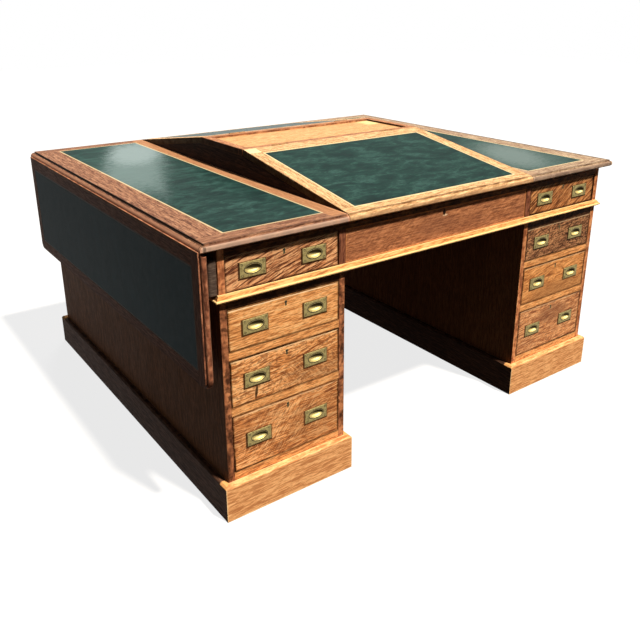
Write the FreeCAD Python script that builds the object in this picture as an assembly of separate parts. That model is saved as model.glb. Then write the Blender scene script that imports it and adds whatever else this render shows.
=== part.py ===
import FreeCAD, Part

import math
import os

# Partners desk in oak: two pedestals of drawers back to back, a frieze with a drawer at each corner, and a
# leather-lined top whose middle rises in two hinged writing slopes that meet at a pen tray. A rule-jointed
# leaf hangs on the left side, with two fly brackets under it.
# Millimetres, +Z up, front towards -Y, left towards -X. Every piece is modelled about the middle of the
# fixed desk, and deliver() then moves it to the middle of the whole box, with the hanging leaf in it.

# Top and carcase
top_width = 1590.0
top_depth = 1372.0
top_height = 780.0
top_thickness = 21.0
side_overhang = 45.0
end_overhang = 20.0
side_thickness = 19.0
rail_depth = 22.0

# Frieze, from its foot up to the underside of the top
base_moulding_height = 22.0
base_moulding_reach = 13.5
base_moulding_nose = 8.0
base_moulding_lip = 3.0
base_bead_radius = 3.5
frieze_drawer_height = 96.0
top_rail_height = 23.0
centre_panel_thickness = 16.0
centre_panel_setback = 2.0
frieze_stile_width = 22.0
bead_radius = 1.6
inner_board = 12.0
divider_thickness = 18.0

# Pedestals
pedestal_width = 380.0
plinth_height = 107.0
plinth_thickness = 18.0
plinth_chamfer = 5.0
floor_clearance = 2.0
rail_height = 24.0
pedestal_drawer_heights = {4: 168.0, 3: 134.0, 2: 115.0}
rail_tail_length = 12.0
rail_tail_neck = 13.0
rail_tail_flare = 3.5
rail_tail_lap = 6.0

# Moulded edge of the top: a square fillet above a quarter round, with the arris below it eased
edge_setback = 7.0
edge_fillet = 4.0
edge_ease = 4.0

# Writing slopes and the pen tray between them
slope_half_width = 370.0
slope_gap = 1.5
slope_rise = 86.0
slope_length = 548.0
ridge_gap = 0.5
rest_gap = 0.4
cheek_thickness = 18.0
ridge_rail_width = 23.0
tray_side_width = 28.0
tray_depth = 6.5
tray_floor_thickness = 10.0

# Leather linings, let in below the wood
leather_recess = 1.5
leather_thickness = 1.2
flat_leather_inner = 413.0
flat_leather_outer = 713.0
flat_leather_end = 56.0
lid_leather_side = 45.0
lid_leather_front = 31.0
lid_leather_rear = 50.0

# Drawers
drawer_gap = 1.5
drawer_side_gap = 2.5
frieze_drawer_setback = 3.0
drawer_length = 630.0
front_thickness = 22.0
drawer_side = 11.0
drawer_side_drop = 6.0
drawer_back_drop = 14.0
drawer_back_thickness = 12.0
bottom_thickness = 8.0
bottom_lift = 8.0
groove_depth = 5.0
tail_length = 16.0
tail_pitch = 52.0
tail_share = 0.66
tail_flare = 3.0

# Flush pulls and locks
pull_length = 73.0
pull_height = 40.0
pull_thickness = 2.6
pull_bevel = 0.8
pull_proud = 1.5
pull_spacing = 184.0
dish_length = 46.0
dish_height = 23.0
dish_corner = 8.0
dish_floor_length = 30.0
dish_floor_height = 9.0
dish_floor_corner = 3.0
dish_depth = 9.5
dish_wall = 1.2
keyhole_drop = 21.0
keyhole_size = (4.6, 11.0)
lock_case = (60.0, 11.0, 34.0)

# Rule joint, leaf and its table hinges
leaf_reach = 360.0
leaf_pin_height = 4.0
rule_clearance = 0.4
leaf_corner_radius = 28.0
leaf_border = 42.0
leaf_hinge_places = (-636.0, -212.0, 212.0, 634.0)
leaf_hinge_length = 36.0
leaf_knuckle = 3.4
leaf_flap_fixed = 33.0
leaf_flap_moving = 62.0
flap_thickness = 1.8

# Butt hinges of the slopes
lid_hinge_places = (-230.0, 230.0)
lid_hinge_length = 62.0
lid_knuckle = 2.6
lid_flap = 18.0
hinge_clearance = 0.35
knuckle_sides = 8

# Fly brackets
bracket_thickness = 23.0
bracket_floor = 641.0
bracket_height = 89.0
bracket_reach = 325.0
bracket_fixed_length = 170.0
bracket_pin_radius = 3.0
bracket_fingers = 3
finger_gap = 0.5
bracket_corner = 9.0
bracket_standoff = 3.0

# Worked out from the dimensions above
carcase_x = top_width / 2 - side_overhang
carcase_y = top_depth / 2 - end_overhang
underside = top_height - top_thickness
top_rail_floor = underside - top_rail_height
frieze_floor = top_rail_floor - frieze_drawer_height
frieze_foot = frieze_floor - base_moulding_height
pedestal_inner = carcase_x - pedestal_width
opening_outer = carcase_x - side_thickness
opening_inner = pedestal_inner + side_thickness
behind_rail = carcase_y - rail_depth
edge_round = edge_setback
slope_corner = top_depth / 2 - edge_setback
ridge_y = top_depth / 2 - slope_length
ridge_height = top_height + slope_rise
slope_angle = math.atan2(slope_rise, slope_corner - ridge_y)
slope_drop = top_thickness / math.cos(slope_angle)
ridge_underside = ridge_height - top_thickness
hinge_x = -top_width / 2 + edge_setback
hinge_z = underside + leaf_pin_height
rule_radius = top_thickness - leaf_pin_height - edge_fillet
leaf_proud = top_thickness - leaf_pin_height - edge_setback


# ---------------------------------------------------------------- shapes

def vec(x, y, z):
    return FreeCAD.Vector(x, y, z)


def board(x, y, z):
    """Plain board between the (low, high) pairs of each axis."""
    return Part.makeBox(x[1] - x[0], y[1] - y[0], z[1] - z[0], vec(x[0], y[0], z[0]))


def around(middle, size):
    """The (low, high) pair of a size about its middle."""
    return middle - size / 2, middle + size / 2


def place(plane, point):
    """Point of a drawing plane as a vector in space."""
    across, up = point
    return {"xy": vec(across, up, 0), "xz": vec(across, 0, up), "yz": vec(0, across, up)}[plane]


def section(plane, start, *moves):
    """Flat face drawn from a start point. A move is a point for a straight run, or a (through, end) pair of
    points for an arc, and the last run closes the outline."""
    edges = []
    here = place(plane, start)
    for move in moves + (start,):
        if isinstance(move[0], tuple):
            through, end = place(plane, move[0]), place(plane, move[1])
            edges.append(Part.Arc(here, through, end).toShape())
        else:
            end = place(plane, move)
            if not end.isEqual(here, 1e-6):
                edges.append(Part.LineSegment(here, end).toShape())
        here = end
    return Part.Face(Part.Wire(edges))


def prism(face, axis, low, high):
    """Solid of a face drawn through the origin, run from low to high along an axis."""
    solid = face.extrude(axis * (high - low))
    solid.translate(axis * low)
    return solid


def polar(centre, radius, degrees):
    angle = math.radians(degrees)
    return centre[0] + radius * math.cos(angle), centre[1] + radius * math.sin(angle)


def arc(centre, radius, first, last):
    """Arc move about a centre, from one angle to another in degrees."""
    return polar(centre, radius, (first + last) / 2), polar(centre, radius, last)


def frustum(mouth, floor):
    """Solid between two like outlines, given as lists of points, with flat walls."""
    walls = [[mouth[i - 1], mouth[i], floor[i], floor[i - 1]] for i in range(len(mouth))]
    faces = [Part.Face(Part.makePolygon(points + points[:1])) for points in walls + [mouth, floor]]
    return Part.makeSolid(Part.makeShell(faces))


def rod(radius, start, axis, length):
    return Part.makeCylinder(radius, length, start, axis)


def joined(solids):
    """One solid out of several that touch or overlap."""
    return solids[0].multiFuse(solids[1:]).removeSplitter()


def flipped(shape):
    """Mirror image on the other side of the desk, left for right."""
    return shape.mirror(vec(0, 0, 0), vec(1, 0, 0))


def turned(shape, degrees=180):
    """Copy turned about the desk's upright middle line."""
    copy = shape.copy()
    copy.rotate(vec(0, 0, 0), vec(0, 0, 1), degrees)
    return copy


def moved(shape, x=0, y=0, z=0):
    copy = shape.copy()
    copy.translate(vec(x, y, z))
    return copy


def both_sides(solids):
    return solids + [flipped(solid) for solid in solids]


def both_ends(solids):
    return solids + [turned(solid) for solid in solids]


X_AXIS = vec(1, 0, 0)
Y_AXIS = vec(0, 1, 0)
Z_AXIS = vec(0, 0, 1)


# ---------------------------------------------------------------- mouldings

def edge_waste_faces():
    """Outlines of what a cutter takes off a moulded edge, above and below its nose. The nose is at y = 0 and
    the board lies towards +Y, with its surface at z = 0."""
    over = 3.0
    nose_top = -edge_fillet - edge_round
    nose_foot = edge_ease - top_thickness
    upper = section("yz", (edge_setback, over), (edge_setback, -edge_fillet),
                    arc((edge_setback, nose_top), edge_round, 90, 180), (-over, nose_top), (-over, over))
    lower = section("yz", (0, nose_foot), (edge_ease, -top_thickness), (edge_ease, -top_thickness - over),
                    (-over, -top_thickness - over), (-over, nose_foot))
    return upper, lower


def edge_waste(length):
    """The waste of a straight moulded edge along X."""
    return [prism(face, X_AXIS, -length / 2, length / 2) for face in edge_waste_faces()]


def corner_waste(radius):
    """The waste round a rounded corner. The corner lies towards -X and -Y of its centre, the origin."""
    faces = [moved(face, y=-radius) for face in edge_waste_faces()]
    return [face.revolve(vec(0, 0, 0), -Z_AXIS, 90) for face in faces]


def mitred_run(profile, length):
    """Moulding along X with both ends mitred. The profile is drawn in the YZ plane with its back at y = 0,
    and length is measured along the back."""
    face = section("yz", *profile)
    reach = -face.BoundBox.YMin
    half = length / 2
    run = prism(face, X_AXIS, -half - reach, half + reach)
    plan = section("xy", (-half, 0), (-half - reach, -reach), (half + reach, -reach), (half, 0))
    return run.common(prism(plan, Z_AXIS, face.BoundBox.ZMin - 1, face.BoundBox.ZMax + 1))


def mitred_frame(profile, x, y):
    """Four mitred lengths of moulding round a rectangle."""
    middle_x, middle_y = sum(x) / 2, sum(y) / 2
    front = mitred_run(profile, x[1] - x[0])
    side = mitred_run(profile, y[1] - y[0])
    return [moved(front, middle_x, y[0]), moved(turned(front), middle_x, y[1]),
            moved(turned(side, -90), x[0], middle_y), moved(turned(side, 90), x[1], middle_y)]


# ---------------------------------------------------------------- pedestals

def drawer_openings():
    """Floor and ceiling of each drawer's opening, from the frieze drawer, 1, down to the lowest, 4."""
    openings = {1: (frieze_floor, top_rail_floor)}
    floor = plinth_height + rail_height
    for number, height in pedestal_drawer_heights.items():
        openings[number] = (floor, floor + height)
        floor += height + rail_height
    return openings


def dovetailed_rail(z):
    """Rail across the front of the left pedestal. The dovetail at each end is let into a side, and stops short
    of the face."""
    middle = sum(z) / 2
    neck = rail_tail_neck / 2
    flare = neck + rail_tail_flare
    left, right = -opening_outer, -opening_inner
    tails = section("xz", (right, middle - neck), (right + rail_tail_length, middle - flare),
                    (right + rail_tail_length, middle + flare), (right, middle + neck), (left, middle + neck),
                    (left - rail_tail_length, middle + flare), (left - rail_tail_length, middle - flare),
                    (left, middle - neck))
    body = board((left, right), (-carcase_y, -behind_rail), z)
    return joined([body, prism(tails, Y_AXIS, -carcase_y + rail_tail_lap, -behind_rail)])


def left_pedestal_rails():
    """The four rails at the front of the left pedestal, and the four at its rear."""
    openings = drawer_openings()
    levels = [(openings[4][0] - rail_height, openings[4][0]), (openings[4][1], openings[3][0]),
              (openings[3][1], openings[2][0]), (openings[2][1], frieze_foot)]
    front = [dovetailed_rail(z) for z in levels]
    return front + [rail.mirror(vec(0, 0, 0), Y_AXIS) for rail in front]


def pedestal_sides():
    """The four upright sides, with the sockets of the rails' dovetails."""
    upright = (floor_clearance, frieze_foot)
    length = (-carcase_y, carcase_y)
    rails = left_pedestal_rails()
    outer = board((-carcase_x, -opening_outer), length, upright).cut(rails)
    inner = board((-opening_inner, -pedestal_inner), length, upright).cut(rails)
    return both_sides([outer, inner])


def pedestal_rails():
    return both_sides(left_pedestal_rails())


def pedestal_boards():
    """Bottom, top and the partition between front and rear drawers, for each pedestal."""
    across = (-opening_outer, -opening_inner)
    floor = plinth_height + rail_height
    ceiling = frieze_foot - inner_board
    bottom = board(across, (-behind_rail, behind_rail), (floor - inner_board, floor))
    top = board(across, (-behind_rail, behind_rail), (ceiling, frieze_foot))
    partition = board(across, around(0, divider_thickness), (floor, ceiling))
    return both_sides([bottom, top, partition])


def plinths():
    """Plinth boards, mitred round each pedestal, with a chamfer along the top."""
    profile = [(0, 0), (-plinth_thickness, 0), (-plinth_thickness, plinth_height - plinth_chamfer),
               (-plinth_thickness + plinth_chamfer, plinth_height), (0, plinth_height)]
    return both_sides(mitred_frame(profile, (-carcase_x, -pedestal_inner), (-carcase_y, carcase_y)))


def drawer_runners():
    """Runners behind each middle rail, on both sides of every drawer above the lowest."""
    openings = drawer_openings()
    runners = []
    for number in (3, 2):
        level = (openings[number][0] - rail_height, openings[number][0])
        for along in ((-behind_rail, -divider_thickness / 2), (divider_thickness / 2, behind_rail)):
            runners.append(board((-opening_outer, -opening_outer + inner_board), along, level))
            runners.append(board((-opening_inner - inner_board, -opening_inner), along, level))
    return both_sides(runners)


# ---------------------------------------------------------------- frieze

def frieze_sides():
    """Outer sides and the inner sides beside the kneehole."""
    outer = board((-carcase_x, -opening_outer), (-carcase_y, carcase_y), (frieze_foot, underside))
    inner = board((-opening_inner, -pedestal_inner), (-behind_rail, behind_rail), (frieze_floor, top_rail_floor))
    return both_sides([outer, inner])


def frieze_rails():
    """Top rail with its bead, foot rail, drawer stiles and the wedge that the slope's nose rests over, at
    each end of the desk."""
    bead_z = (top_rail_floor + underside) / 2
    rail_face = section("yz", (-carcase_y, top_rail_floor), (-behind_rail, top_rail_floor),
                        (-behind_rail, underside), (-carcase_y, underside), (-carcase_y, bead_z + bead_radius),
                        arc((-carcase_y, bead_z), bead_radius, 90, 270))
    top_rail = prism(rail_face, X_AXIS, -opening_outer, opening_outer)
    foot_rail = board((-opening_outer, opening_outer), (-carcase_y, -behind_rail), (frieze_foot, frieze_floor))
    stile = board((-opening_inner, -opening_inner + frieze_stile_width), (-carcase_y, -behind_rail),
                  (frieze_floor, top_rail_floor))
    wedge_face = section("yz", (-carcase_y, underside), (-behind_rail, underside),
                         (-behind_rail, slope_underside(-behind_rail)), (-carcase_y, slope_underside(-carcase_y)))
    wedge = prism(wedge_face, X_AXIS, -slope_half_width + slope_gap, slope_half_width - slope_gap)
    return both_ends([top_rail, foot_rail, stile, flipped(stile), wedge])


def frieze_panels():
    """Fixed panel over the kneehole at each end, beaded along the top and the foot."""
    face_y = -carcase_y + centre_panel_setback
    back_y = face_y + centre_panel_thickness
    low, high = frieze_floor, top_rail_floor
    outline = section("yz", (face_y, low + 2 * bead_radius), (face_y, high - 2 * bead_radius),
                      arc((face_y, high - bead_radius), bead_radius, 270, 90), (back_y, high), (back_y, low),
                      (face_y, low), arc((face_y, low + bead_radius), bead_radius, 270, 90))
    half = opening_inner - frieze_stile_width
    return both_ends([prism(outline, X_AXIS, -half, half)])


def well_boards():
    """Bottom of the frieze, the partitions between its drawers, and the back of each writing well."""
    bottom = board((-opening_outer, opening_outer), (-behind_rail, behind_rail),
                   (frieze_floor - inner_board, frieze_floor))
    partition = board((-opening_outer, -opening_inner), around(0, divider_thickness),
                      (frieze_floor, top_rail_floor))
    well_half = slope_half_width - cheek_thickness
    well_back = board((-well_half, well_half), (-ridge_y, -ridge_y + divider_thickness),
                      (frieze_floor, ridge_underside))
    return [bottom] + both_sides([partition]) + both_ends([well_back])


def base_moulding():
    """Moulding round the foot of the frieze: a weathered slope above a half round, chamfered below."""
    nose_z = frieze_foot + base_moulding_nose
    nose_y = base_bead_radius - base_moulding_reach
    profile = [(0, frieze_foot), (-base_moulding_lip, frieze_foot), (nose_y, nose_z - base_bead_radius),
               arc((nose_y, nose_z), base_bead_radius, 270, 90), (-base_moulding_lip, frieze_floor),
               (0, frieze_floor)]
    return mitred_frame(profile, (-carcase_x, carcase_x), (-carcase_y, carcase_y))


# ---------------------------------------------------------------- top

def slope_underside(y):
    """Height of the seat under the front slope, with the slope closed."""
    surface = ridge_height + (y + ridge_y) * math.tan(slope_angle)
    return surface - slope_drop - rest_gap


def along_front(solids):
    """Edge waste moved from the drawing position to the front edge of the top."""
    return [moved(solid, y=-top_depth / 2, z=top_height) for solid in solids]


def flat_section(outer, waste):
    """Flat side section as its left half of the desk: moulded ends, a waste of its own on the outer edge, and
    a recess for the leather."""
    blank = board((outer, -slope_half_width), (-top_depth / 2, top_depth / 2), (underside, top_height))
    ends = along_front(edge_waste(2 * top_width))
    recess = board((-flat_leather_outer, -flat_leather_inner),
                   (-top_depth / 2 + flat_leather_end, top_depth / 2 - flat_leather_end),
                   (top_height - leather_recess, top_height + 1))
    return blank.cut(both_ends(ends) + waste + [recess])


def top_left():
    """Left section, with the fixed half of the rule joint along its outer edge."""
    over = 3.0
    pin = (hinge_x, hinge_z)
    foot_angle = 180 + math.degrees(math.asin(leaf_pin_height / rule_radius))
    outer = hinge_x - rule_radius
    ovolo = section("xz", (hinge_x, top_height + over), (hinge_x, hinge_z + rule_radius),
                    arc(pin, rule_radius, 90, foot_angle), (outer - over, underside), (outer - over, top_height + over))
    waste = [prism(ovolo, Y_AXIS, -top_depth, top_depth)]
    return [flat_section(outer, waste + leaf_hinge_recesses())]


def top_right():
    """Right section, moulded along its outer edge like the ends."""
    side = [turned(solid, -90) for solid in edge_waste(2 * top_depth)]
    waste = [moved(solid, x=-top_width / 2, z=top_height) for solid in side]
    return [flipped(flat_section(-top_width / 2, waste))]


def top_leathers():
    return both_sides([board((-flat_leather_outer, -flat_leather_inner),
                             (-top_depth / 2 + flat_leather_end, top_depth / 2 - flat_leather_end),
                             (top_height - leather_recess, top_height - leather_recess + leather_thickness))])


def ridge_frame():
    """Cheeks under the slopes' sides, the two ridge rails, the tray's sides and its floor."""
    corners = [(-behind_rail, frieze_floor), (behind_rail, frieze_floor),
               (behind_rail, slope_underside(-behind_rail)), (ridge_y, slope_underside(-ridge_y)),
               (ridge_y, ridge_underside), (-ridge_y, ridge_underside),
               (-ridge_y, slope_underside(-ridge_y)), (-behind_rail, slope_underside(-behind_rail))]
    cheek = prism(section("yz", *corners), X_AXIS, -slope_half_width, -slope_half_width + cheek_thickness)
    inner_y = ridge_y - ridge_rail_width
    inner_x = slope_half_width - tray_side_width
    rail = board((-slope_half_width, slope_half_width), (-ridge_y, -inner_y), (ridge_underside, ridge_height))
    tray_side = board((-slope_half_width, -inner_x), (-inner_y, inner_y), (ridge_underside, ridge_height))
    floor_top = ridge_height - tray_depth
    floor = board((-inner_x, inner_x), (-inner_y, inner_y), (floor_top - tray_floor_thickness, floor_top))
    rails = both_ends([rail.cut(lid_hinge_recesses())])
    return both_sides([cheek, tray_side]) + rails + [floor]


# ---------------------------------------------------------------- hinges

def hinge_half(length, knuckle, flap, outer):
    """Half of a hinge about the Y axis. Its flap, given as (low, high) pairs in X and Z, hangs below the
    knuckles. The outer half has the two end knuckles, the inner half the middle one."""
    half_middle = length / 6
    middle = (-half_middle + hinge_clearance, half_middle - hinge_clearance)
    spans = [(-length / 2, -half_middle), (half_middle, length / 2)] if outer else [middle]
    neck = max(knuckle, *(abs(x) for x in flap[0])) + hinge_clearance
    pieces = [board(flap[0], around(0, length), (flap[1][0], -neck))]
    facet = 360 / knuckle_sides
    barrel = section("xz", *[polar((0, 0), knuckle, facet * (side + 0.5)) for side in range(knuckle_sides)])
    for low, high in spans:
        pieces.append(prism(barrel, Y_AXIS, low, high))
        pieces.append(board(flap[0], (low, high), (-neck - 1, 0)))
    return joined(pieces)


def tilted(shape, degrees):
    """Copy turned about the Y axis."""
    copy = shape.copy()
    copy.rotate(vec(0, 0, 0), Y_AXIS, degrees)
    return copy


def leaf_flap(reach, inner_face):
    """Cross-section of a table hinge's flap, tangent to the underside of the wood."""
    return (inner_face, inner_face + flap_thickness), (-reach, 0)


def leaf_hinge_fixed():
    """Half of a table hinge under the fixed top, about its own pin."""
    return tilted(hinge_half(leaf_hinge_length, leaf_knuckle, leaf_flap(leaf_flap_fixed, -leaf_pin_height), True),
                  -90)


def leaf_hinge_moving():
    """Half of a table hinge under the leaf with the leaf raised, about its own pin."""
    inner_face = leaf_pin_height - flap_thickness
    return tilted(hinge_half(leaf_hinge_length, leaf_knuckle, leaf_flap(leaf_flap_moving, inner_face), False), 90)


def at_leaf_pins(shapes):
    return [moved(shape, hinge_x, y, hinge_z) for y in leaf_hinge_places for shape in shapes]


def leaf_hinge_recesses():
    """Room in the top and the leaf for the knuckles and flaps."""
    wide = leaf_hinge_length / 2 + hinge_clearance
    flap_top = -leaf_pin_height + flap_thickness
    swing = math.hypot(leaf_pin_height, flap_top) + hinge_clearance
    knuckle = board((-swing, swing), (-wide, wide), (-leaf_pin_height - 1, swing))
    fixed = board((0, leaf_flap_fixed), (-wide, wide), (-leaf_pin_height - 1, flap_top))
    moving = board((-leaf_flap_moving - hinge_clearance, 0), (-wide, wide),
                   (-leaf_pin_height - 1, flap_top + hinge_clearance))
    return at_leaf_pins([knuckle.multiFuse([fixed, moving])])


def lid_flap_section(side):
    """Cross-section of a butt hinge's flap beside the pin, on the side given as -1 or 1."""
    near, far = side * hinge_clearance / 2, side * (hinge_clearance / 2 + flap_thickness)
    return (min(near, far), max(near, far)), (-lid_flap, 0)


def at_lid_pins(shape):
    """Hinge parts from the Y axis to the pins of the front slope, with the flap's +X side to the rear."""
    return [moved(turned(shape, 90), x, -ridge_y, ridge_height) for x in lid_hinge_places]


def lid_hinge_recesses():
    """Room for the knuckles and flaps in the front slope and in its ridge rail."""
    wide = lid_hinge_length / 2 + hinge_clearance
    far = hinge_clearance + flap_thickness
    room = lid_knuckle + hinge_clearance
    knuckle = board((-room, room), (-wide, wide), (-room, 1))
    flaps = board((-far, far), (-wide, wide), (-lid_flap - hinge_clearance, 1))
    return at_lid_pins(joined([knuckle, flaps]))


def lid_hardware():
    """Fixed halves of the slopes' hinges and the lock case behind each centre panel."""
    fixed = hinge_half(lid_hinge_length, lid_knuckle, lid_flap_section(1), True)
    width, depth, height = lock_case
    panel_back = -carcase_y + centre_panel_setback + centre_panel_thickness
    case = board(around(0, width), (panel_back, panel_back + depth), (top_rail_floor - height, top_rail_floor))
    return both_ends(at_lid_pins(fixed) + [case])


# ---------------------------------------------------------------- moving slopes and leaf

def slope_board():
    """Front writing slope, closed: moulded along its nose, cut square at the ridge."""
    nose = -top_depth / 2
    rear = -ridge_y - ridge_gap
    run = math.tan(slope_angle)
    at_nose = top_height - edge_setback * run
    at_rear = ridge_height - ridge_gap * run
    foot = nose + edge_setback + (slope_drop - top_thickness) / run
    outline = section("yz", (nose, at_nose), (nose, underside), (foot, underside), (rear, at_rear - slope_drop),
                      (rear, at_rear))
    half = slope_half_width - slope_gap
    blank = prism(outline, X_AXIS, -half, half)
    return blank.cut(along_front(edge_waste(2 * top_width)) + [slope_lining(leather_recess + 1, 1)]
                     + lid_hinge_recesses())


def slope_lining(thickness, above):
    """Slab let into the front slope's face, ending a height above or below it."""
    half = slope_half_width - lid_leather_side
    along = (slope_length - edge_setback) / math.cos(slope_angle)
    slab = board((-half, half), (lid_leather_front, along - lid_leather_rear), (above - thickness, above))
    slab.rotate(vec(0, 0, 0), X_AXIS, math.degrees(slope_angle))
    slab.translate(vec(0, -slope_corner, top_height))
    return slab


def slope_leather():
    return slope_lining(leather_thickness, leather_thickness - leather_recess)


def slope_flaps():
    """Moving halves of the front slope's hinges."""
    return at_lid_pins(hinge_half(lid_hinge_length, lid_knuckle, lid_flap_section(-1), False))


def hanging(shape):
    """Leaf part from its raised place to its place at rest."""
    copy = shape.copy()
    copy.rotate(vec(hinge_x, 0, hinge_z), Y_AXIS, -90)
    return copy


def leaf_plan(inset):
    """Plan of the raised leaf, inset from its three free edges, with its outer corners rounded."""
    radius = max(leaf_corner_radius - inset, 1.0)
    far = hinge_x - leaf_reach + inset
    low, high = -top_depth / 2 + inset, top_depth / 2 - inset
    near = hinge_x - rule_clearance
    return section("xy", (near, low), (far + radius, low), arc((far + radius, low + radius), radius, 270, 180),
                   (far, high - radius), arc((far + radius, high - radius), radius, 180, 90), (near, high))


def leaf():
    """Leaf board, moulded on its free edges and coved along the rule joint."""
    blank = prism(leaf_plan(0), Z_AXIS, underside, top_height)
    front = along_front(edge_waste(2 * top_width))
    side = [moved(turned(solid, -90), hinge_x - leaf_reach, 0, top_height) for solid in edge_waste(2 * top_depth)]
    centre_x = hinge_x - leaf_reach + leaf_corner_radius
    centre_y = -top_depth / 2 + leaf_corner_radius
    corner = [moved(solid, centre_x, centre_y, top_height) for solid in corner_waste(leaf_corner_radius)]
    rear = [solid.mirror(vec(0, 0, 0), Y_AXIS) for solid in front + corner]
    cove = rod(rule_radius + rule_clearance, vec(hinge_x, -top_depth, hinge_z), Y_AXIS, 2 * top_depth)
    recess = leaf_lining((top_height - leather_recess, top_height + 1))
    return [hanging(blank.cut(front + side + corner + rear + [cove, recess] + leaf_hinge_recesses()))]


def leaf_lining(z):
    """Slab over the lined part of the raised leaf."""
    return board((hinge_x - leaf_reach + leaf_border, hinge_x - leaf_border),
                 (-top_depth / 2 + leaf_border, top_depth / 2 - leaf_border), z)


def leaf_leather():
    floor = top_height - leather_recess
    return [hanging(leaf_lining((floor, floor + leather_thickness)))]


# ---------------------------------------------------------------- fly brackets

def bracket_parts():
    """Swinging wing of the front bracket and the fixed block that carries its pin."""
    face_x = -carcase_x - bracket_standoff
    across = (face_x - bracket_thickness, face_x)
    radius = bracket_thickness / 2
    pin_x = face_x - radius
    pin_y = -carcase_y + bracket_reach
    top = bracket_floor + bracket_height
    corner = (across[0] + bracket_corner, -carcase_y + bracket_corner)
    plan = section("xy", (across[1], -carcase_y), (across[1], pin_y - radius - finger_gap),
                   (across[0], pin_y - radius - finger_gap), (across[0], -carcase_y + bracket_corner),
                   arc(corner, bracket_corner, 180, 270))
    wing = [prism(plan, Z_AXIS, bracket_floor, top)]
    block = [board(across, (pin_y + radius + finger_gap, pin_y + bracket_fixed_length), (bracket_floor, top))]
    pitch = bracket_height / bracket_fingers
    for index in range(bracket_fingers):
        low = bracket_floor + index * pitch
        on_block = index % 2 == 0
        z = (low, low + pitch) if on_block else (low + finger_gap, low + pitch - finger_gap)
        tongue = (pin_y, pin_y + radius + finger_gap + 1) if on_block else (pin_y - radius - finger_gap - 1, pin_y)
        finger = [rod(radius, vec(pin_x, pin_y, z[0]), Z_AXIS, z[1] - z[0]), board(across, tongue, z)]
        (block if on_block else wing).extend(finger)
    pin = rod(bracket_pin_radius, vec(pin_x, pin_y, bracket_floor), Z_AXIS, bracket_height)
    bore = rod(bracket_pin_radius + hinge_clearance, vec(pin_x, pin_y, bracket_floor), Z_AXIS, bracket_height)
    packing = board((face_x, -carcase_x), (pin_y + radius + finger_gap, pin_y + bracket_fixed_length),
                    (bracket_floor, top))
    return joined(wing).cut(bore), joined(block + [pin, packing])


def bracket_front():
    return [bracket_parts()[0]]


def bracket_rear():
    return [bracket_parts()[0].mirror(vec(0, 0, 0), Y_AXIS)]


def bracket_blocks():
    block = bracket_parts()[1]
    return [block, block.mirror(vec(0, 0, 0), Y_AXIS)]


# ---------------------------------------------------------------- drawers

def tails(z, width):
    """Dovetails on the front end of a drawer side, across a width in X."""
    height = z[1] - z[0]
    count = max(2, round(height / tail_pitch))
    pitch = height / count
    root_y, tip_y = -carcase_y + front_thickness, -carcase_y + front_thickness - tail_length
    solids = []
    for index in range(count):
        middle = z[0] + (index + 0.5) * pitch
        tip = pitch * tail_share / 2
        root = tip - tail_flare
        outline = section("yz", (root_y, middle - root), (root_y, middle + root), (tip_y, middle + tip),
                          (tip_y, middle - tip))
        solids.append(prism(outline, X_AXIS, *width))
    return solids


def drawer_box(opening):
    """Wooden pieces of the front left drawer in an opening: front, two dovetailed sides, back and bottom."""
    left, right = -opening_outer + drawer_side_gap, -opening_inner - drawer_side_gap
    foot, head = opening[0] + drawer_gap, opening[1] - drawer_gap
    side_head = head - drawer_side_drop
    front_back_y = -carcase_y + front_thickness
    rear = -carcase_y + drawer_length
    widths = ((left, left + drawer_side), (right - drawer_side, right))
    all_tails = [tail for width in widths for tail in tails((foot, side_head), width)]
    bottom = board((left + drawer_side - groove_depth, right - drawer_side + groove_depth),
                   (front_back_y, rear), (foot + bottom_lift, foot + bottom_lift + bottom_thickness))
    middle_x = (left + right) / 2
    middle_z = sum(opening) / 2
    mortises = [pull_mortise(middle_x + offset, middle_z) for offset in (-pull_spacing / 2, pull_spacing / 2)]
    keyhole_z = opening[1] - keyhole_drop
    width, depth, height = lock_case
    lock_room = board(around(middle_x, width), (front_back_y - depth, front_back_y), around(keyhole_z, height))
    keyhole = board(around(middle_x, keyhole_size[0]), (-carcase_y, front_back_y),
                    around(keyhole_z, keyhole_size[1]))
    front = board((left, right), (-carcase_y, front_back_y), (foot, head))
    front = front.cut(all_tails + mortises + [lock_room, keyhole])
    sides = []
    for width in widths:
        side = board(width, (front_back_y, rear), (foot, side_head)).cut(bottom)
        sides.append(joined([side] + tails((foot, side_head), width)))
    back = board((left + drawer_side, right - drawer_side), (rear - drawer_back_thickness, rear),
                 (foot + bottom_lift + bottom_thickness, head - drawer_back_drop))
    return [front] + sides + [back, bottom]


def pull_cup(y):
    """Block behind a pull's plate, round its dish, from the plate's face at y."""
    return board(around(0, dish_length + 2 * dish_wall), (y, y + dish_depth + dish_wall),
                 around(0, dish_height + 2 * dish_wall))


def pull_mortise(x, z):
    """Room in a drawer front for a pull's plate and for the cup behind it."""
    face_y = -carcase_y - pull_proud
    plate = board(around(0, pull_length), (face_y, face_y + pull_thickness), around(0, pull_height))
    return moved(plate.fuse(pull_cup(face_y)), x, 0, z)


def dish_outline(length, height, corner, y):
    """Points of a long outline with its corners cut off at 45 degrees, upright at a depth y."""
    across, up = length / 2, height / 2
    points = [(-across, up - corner), (-across, corner - up), (corner - across, -up), (across - corner, -up),
              (across, corner - up), (across, up - corner), (across - corner, up), (corner - across, up)]
    return [vec(x, y, z) for x, z in points]


def pull_dish():
    """Hollow for the fingers, narrowing to its floor."""
    mouth = dish_outline(dish_length, dish_height, dish_corner, 0)
    floor = dish_outline(dish_floor_length, dish_floor_height, dish_floor_corner, dish_depth)
    return frustum(mouth, floor)


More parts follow.
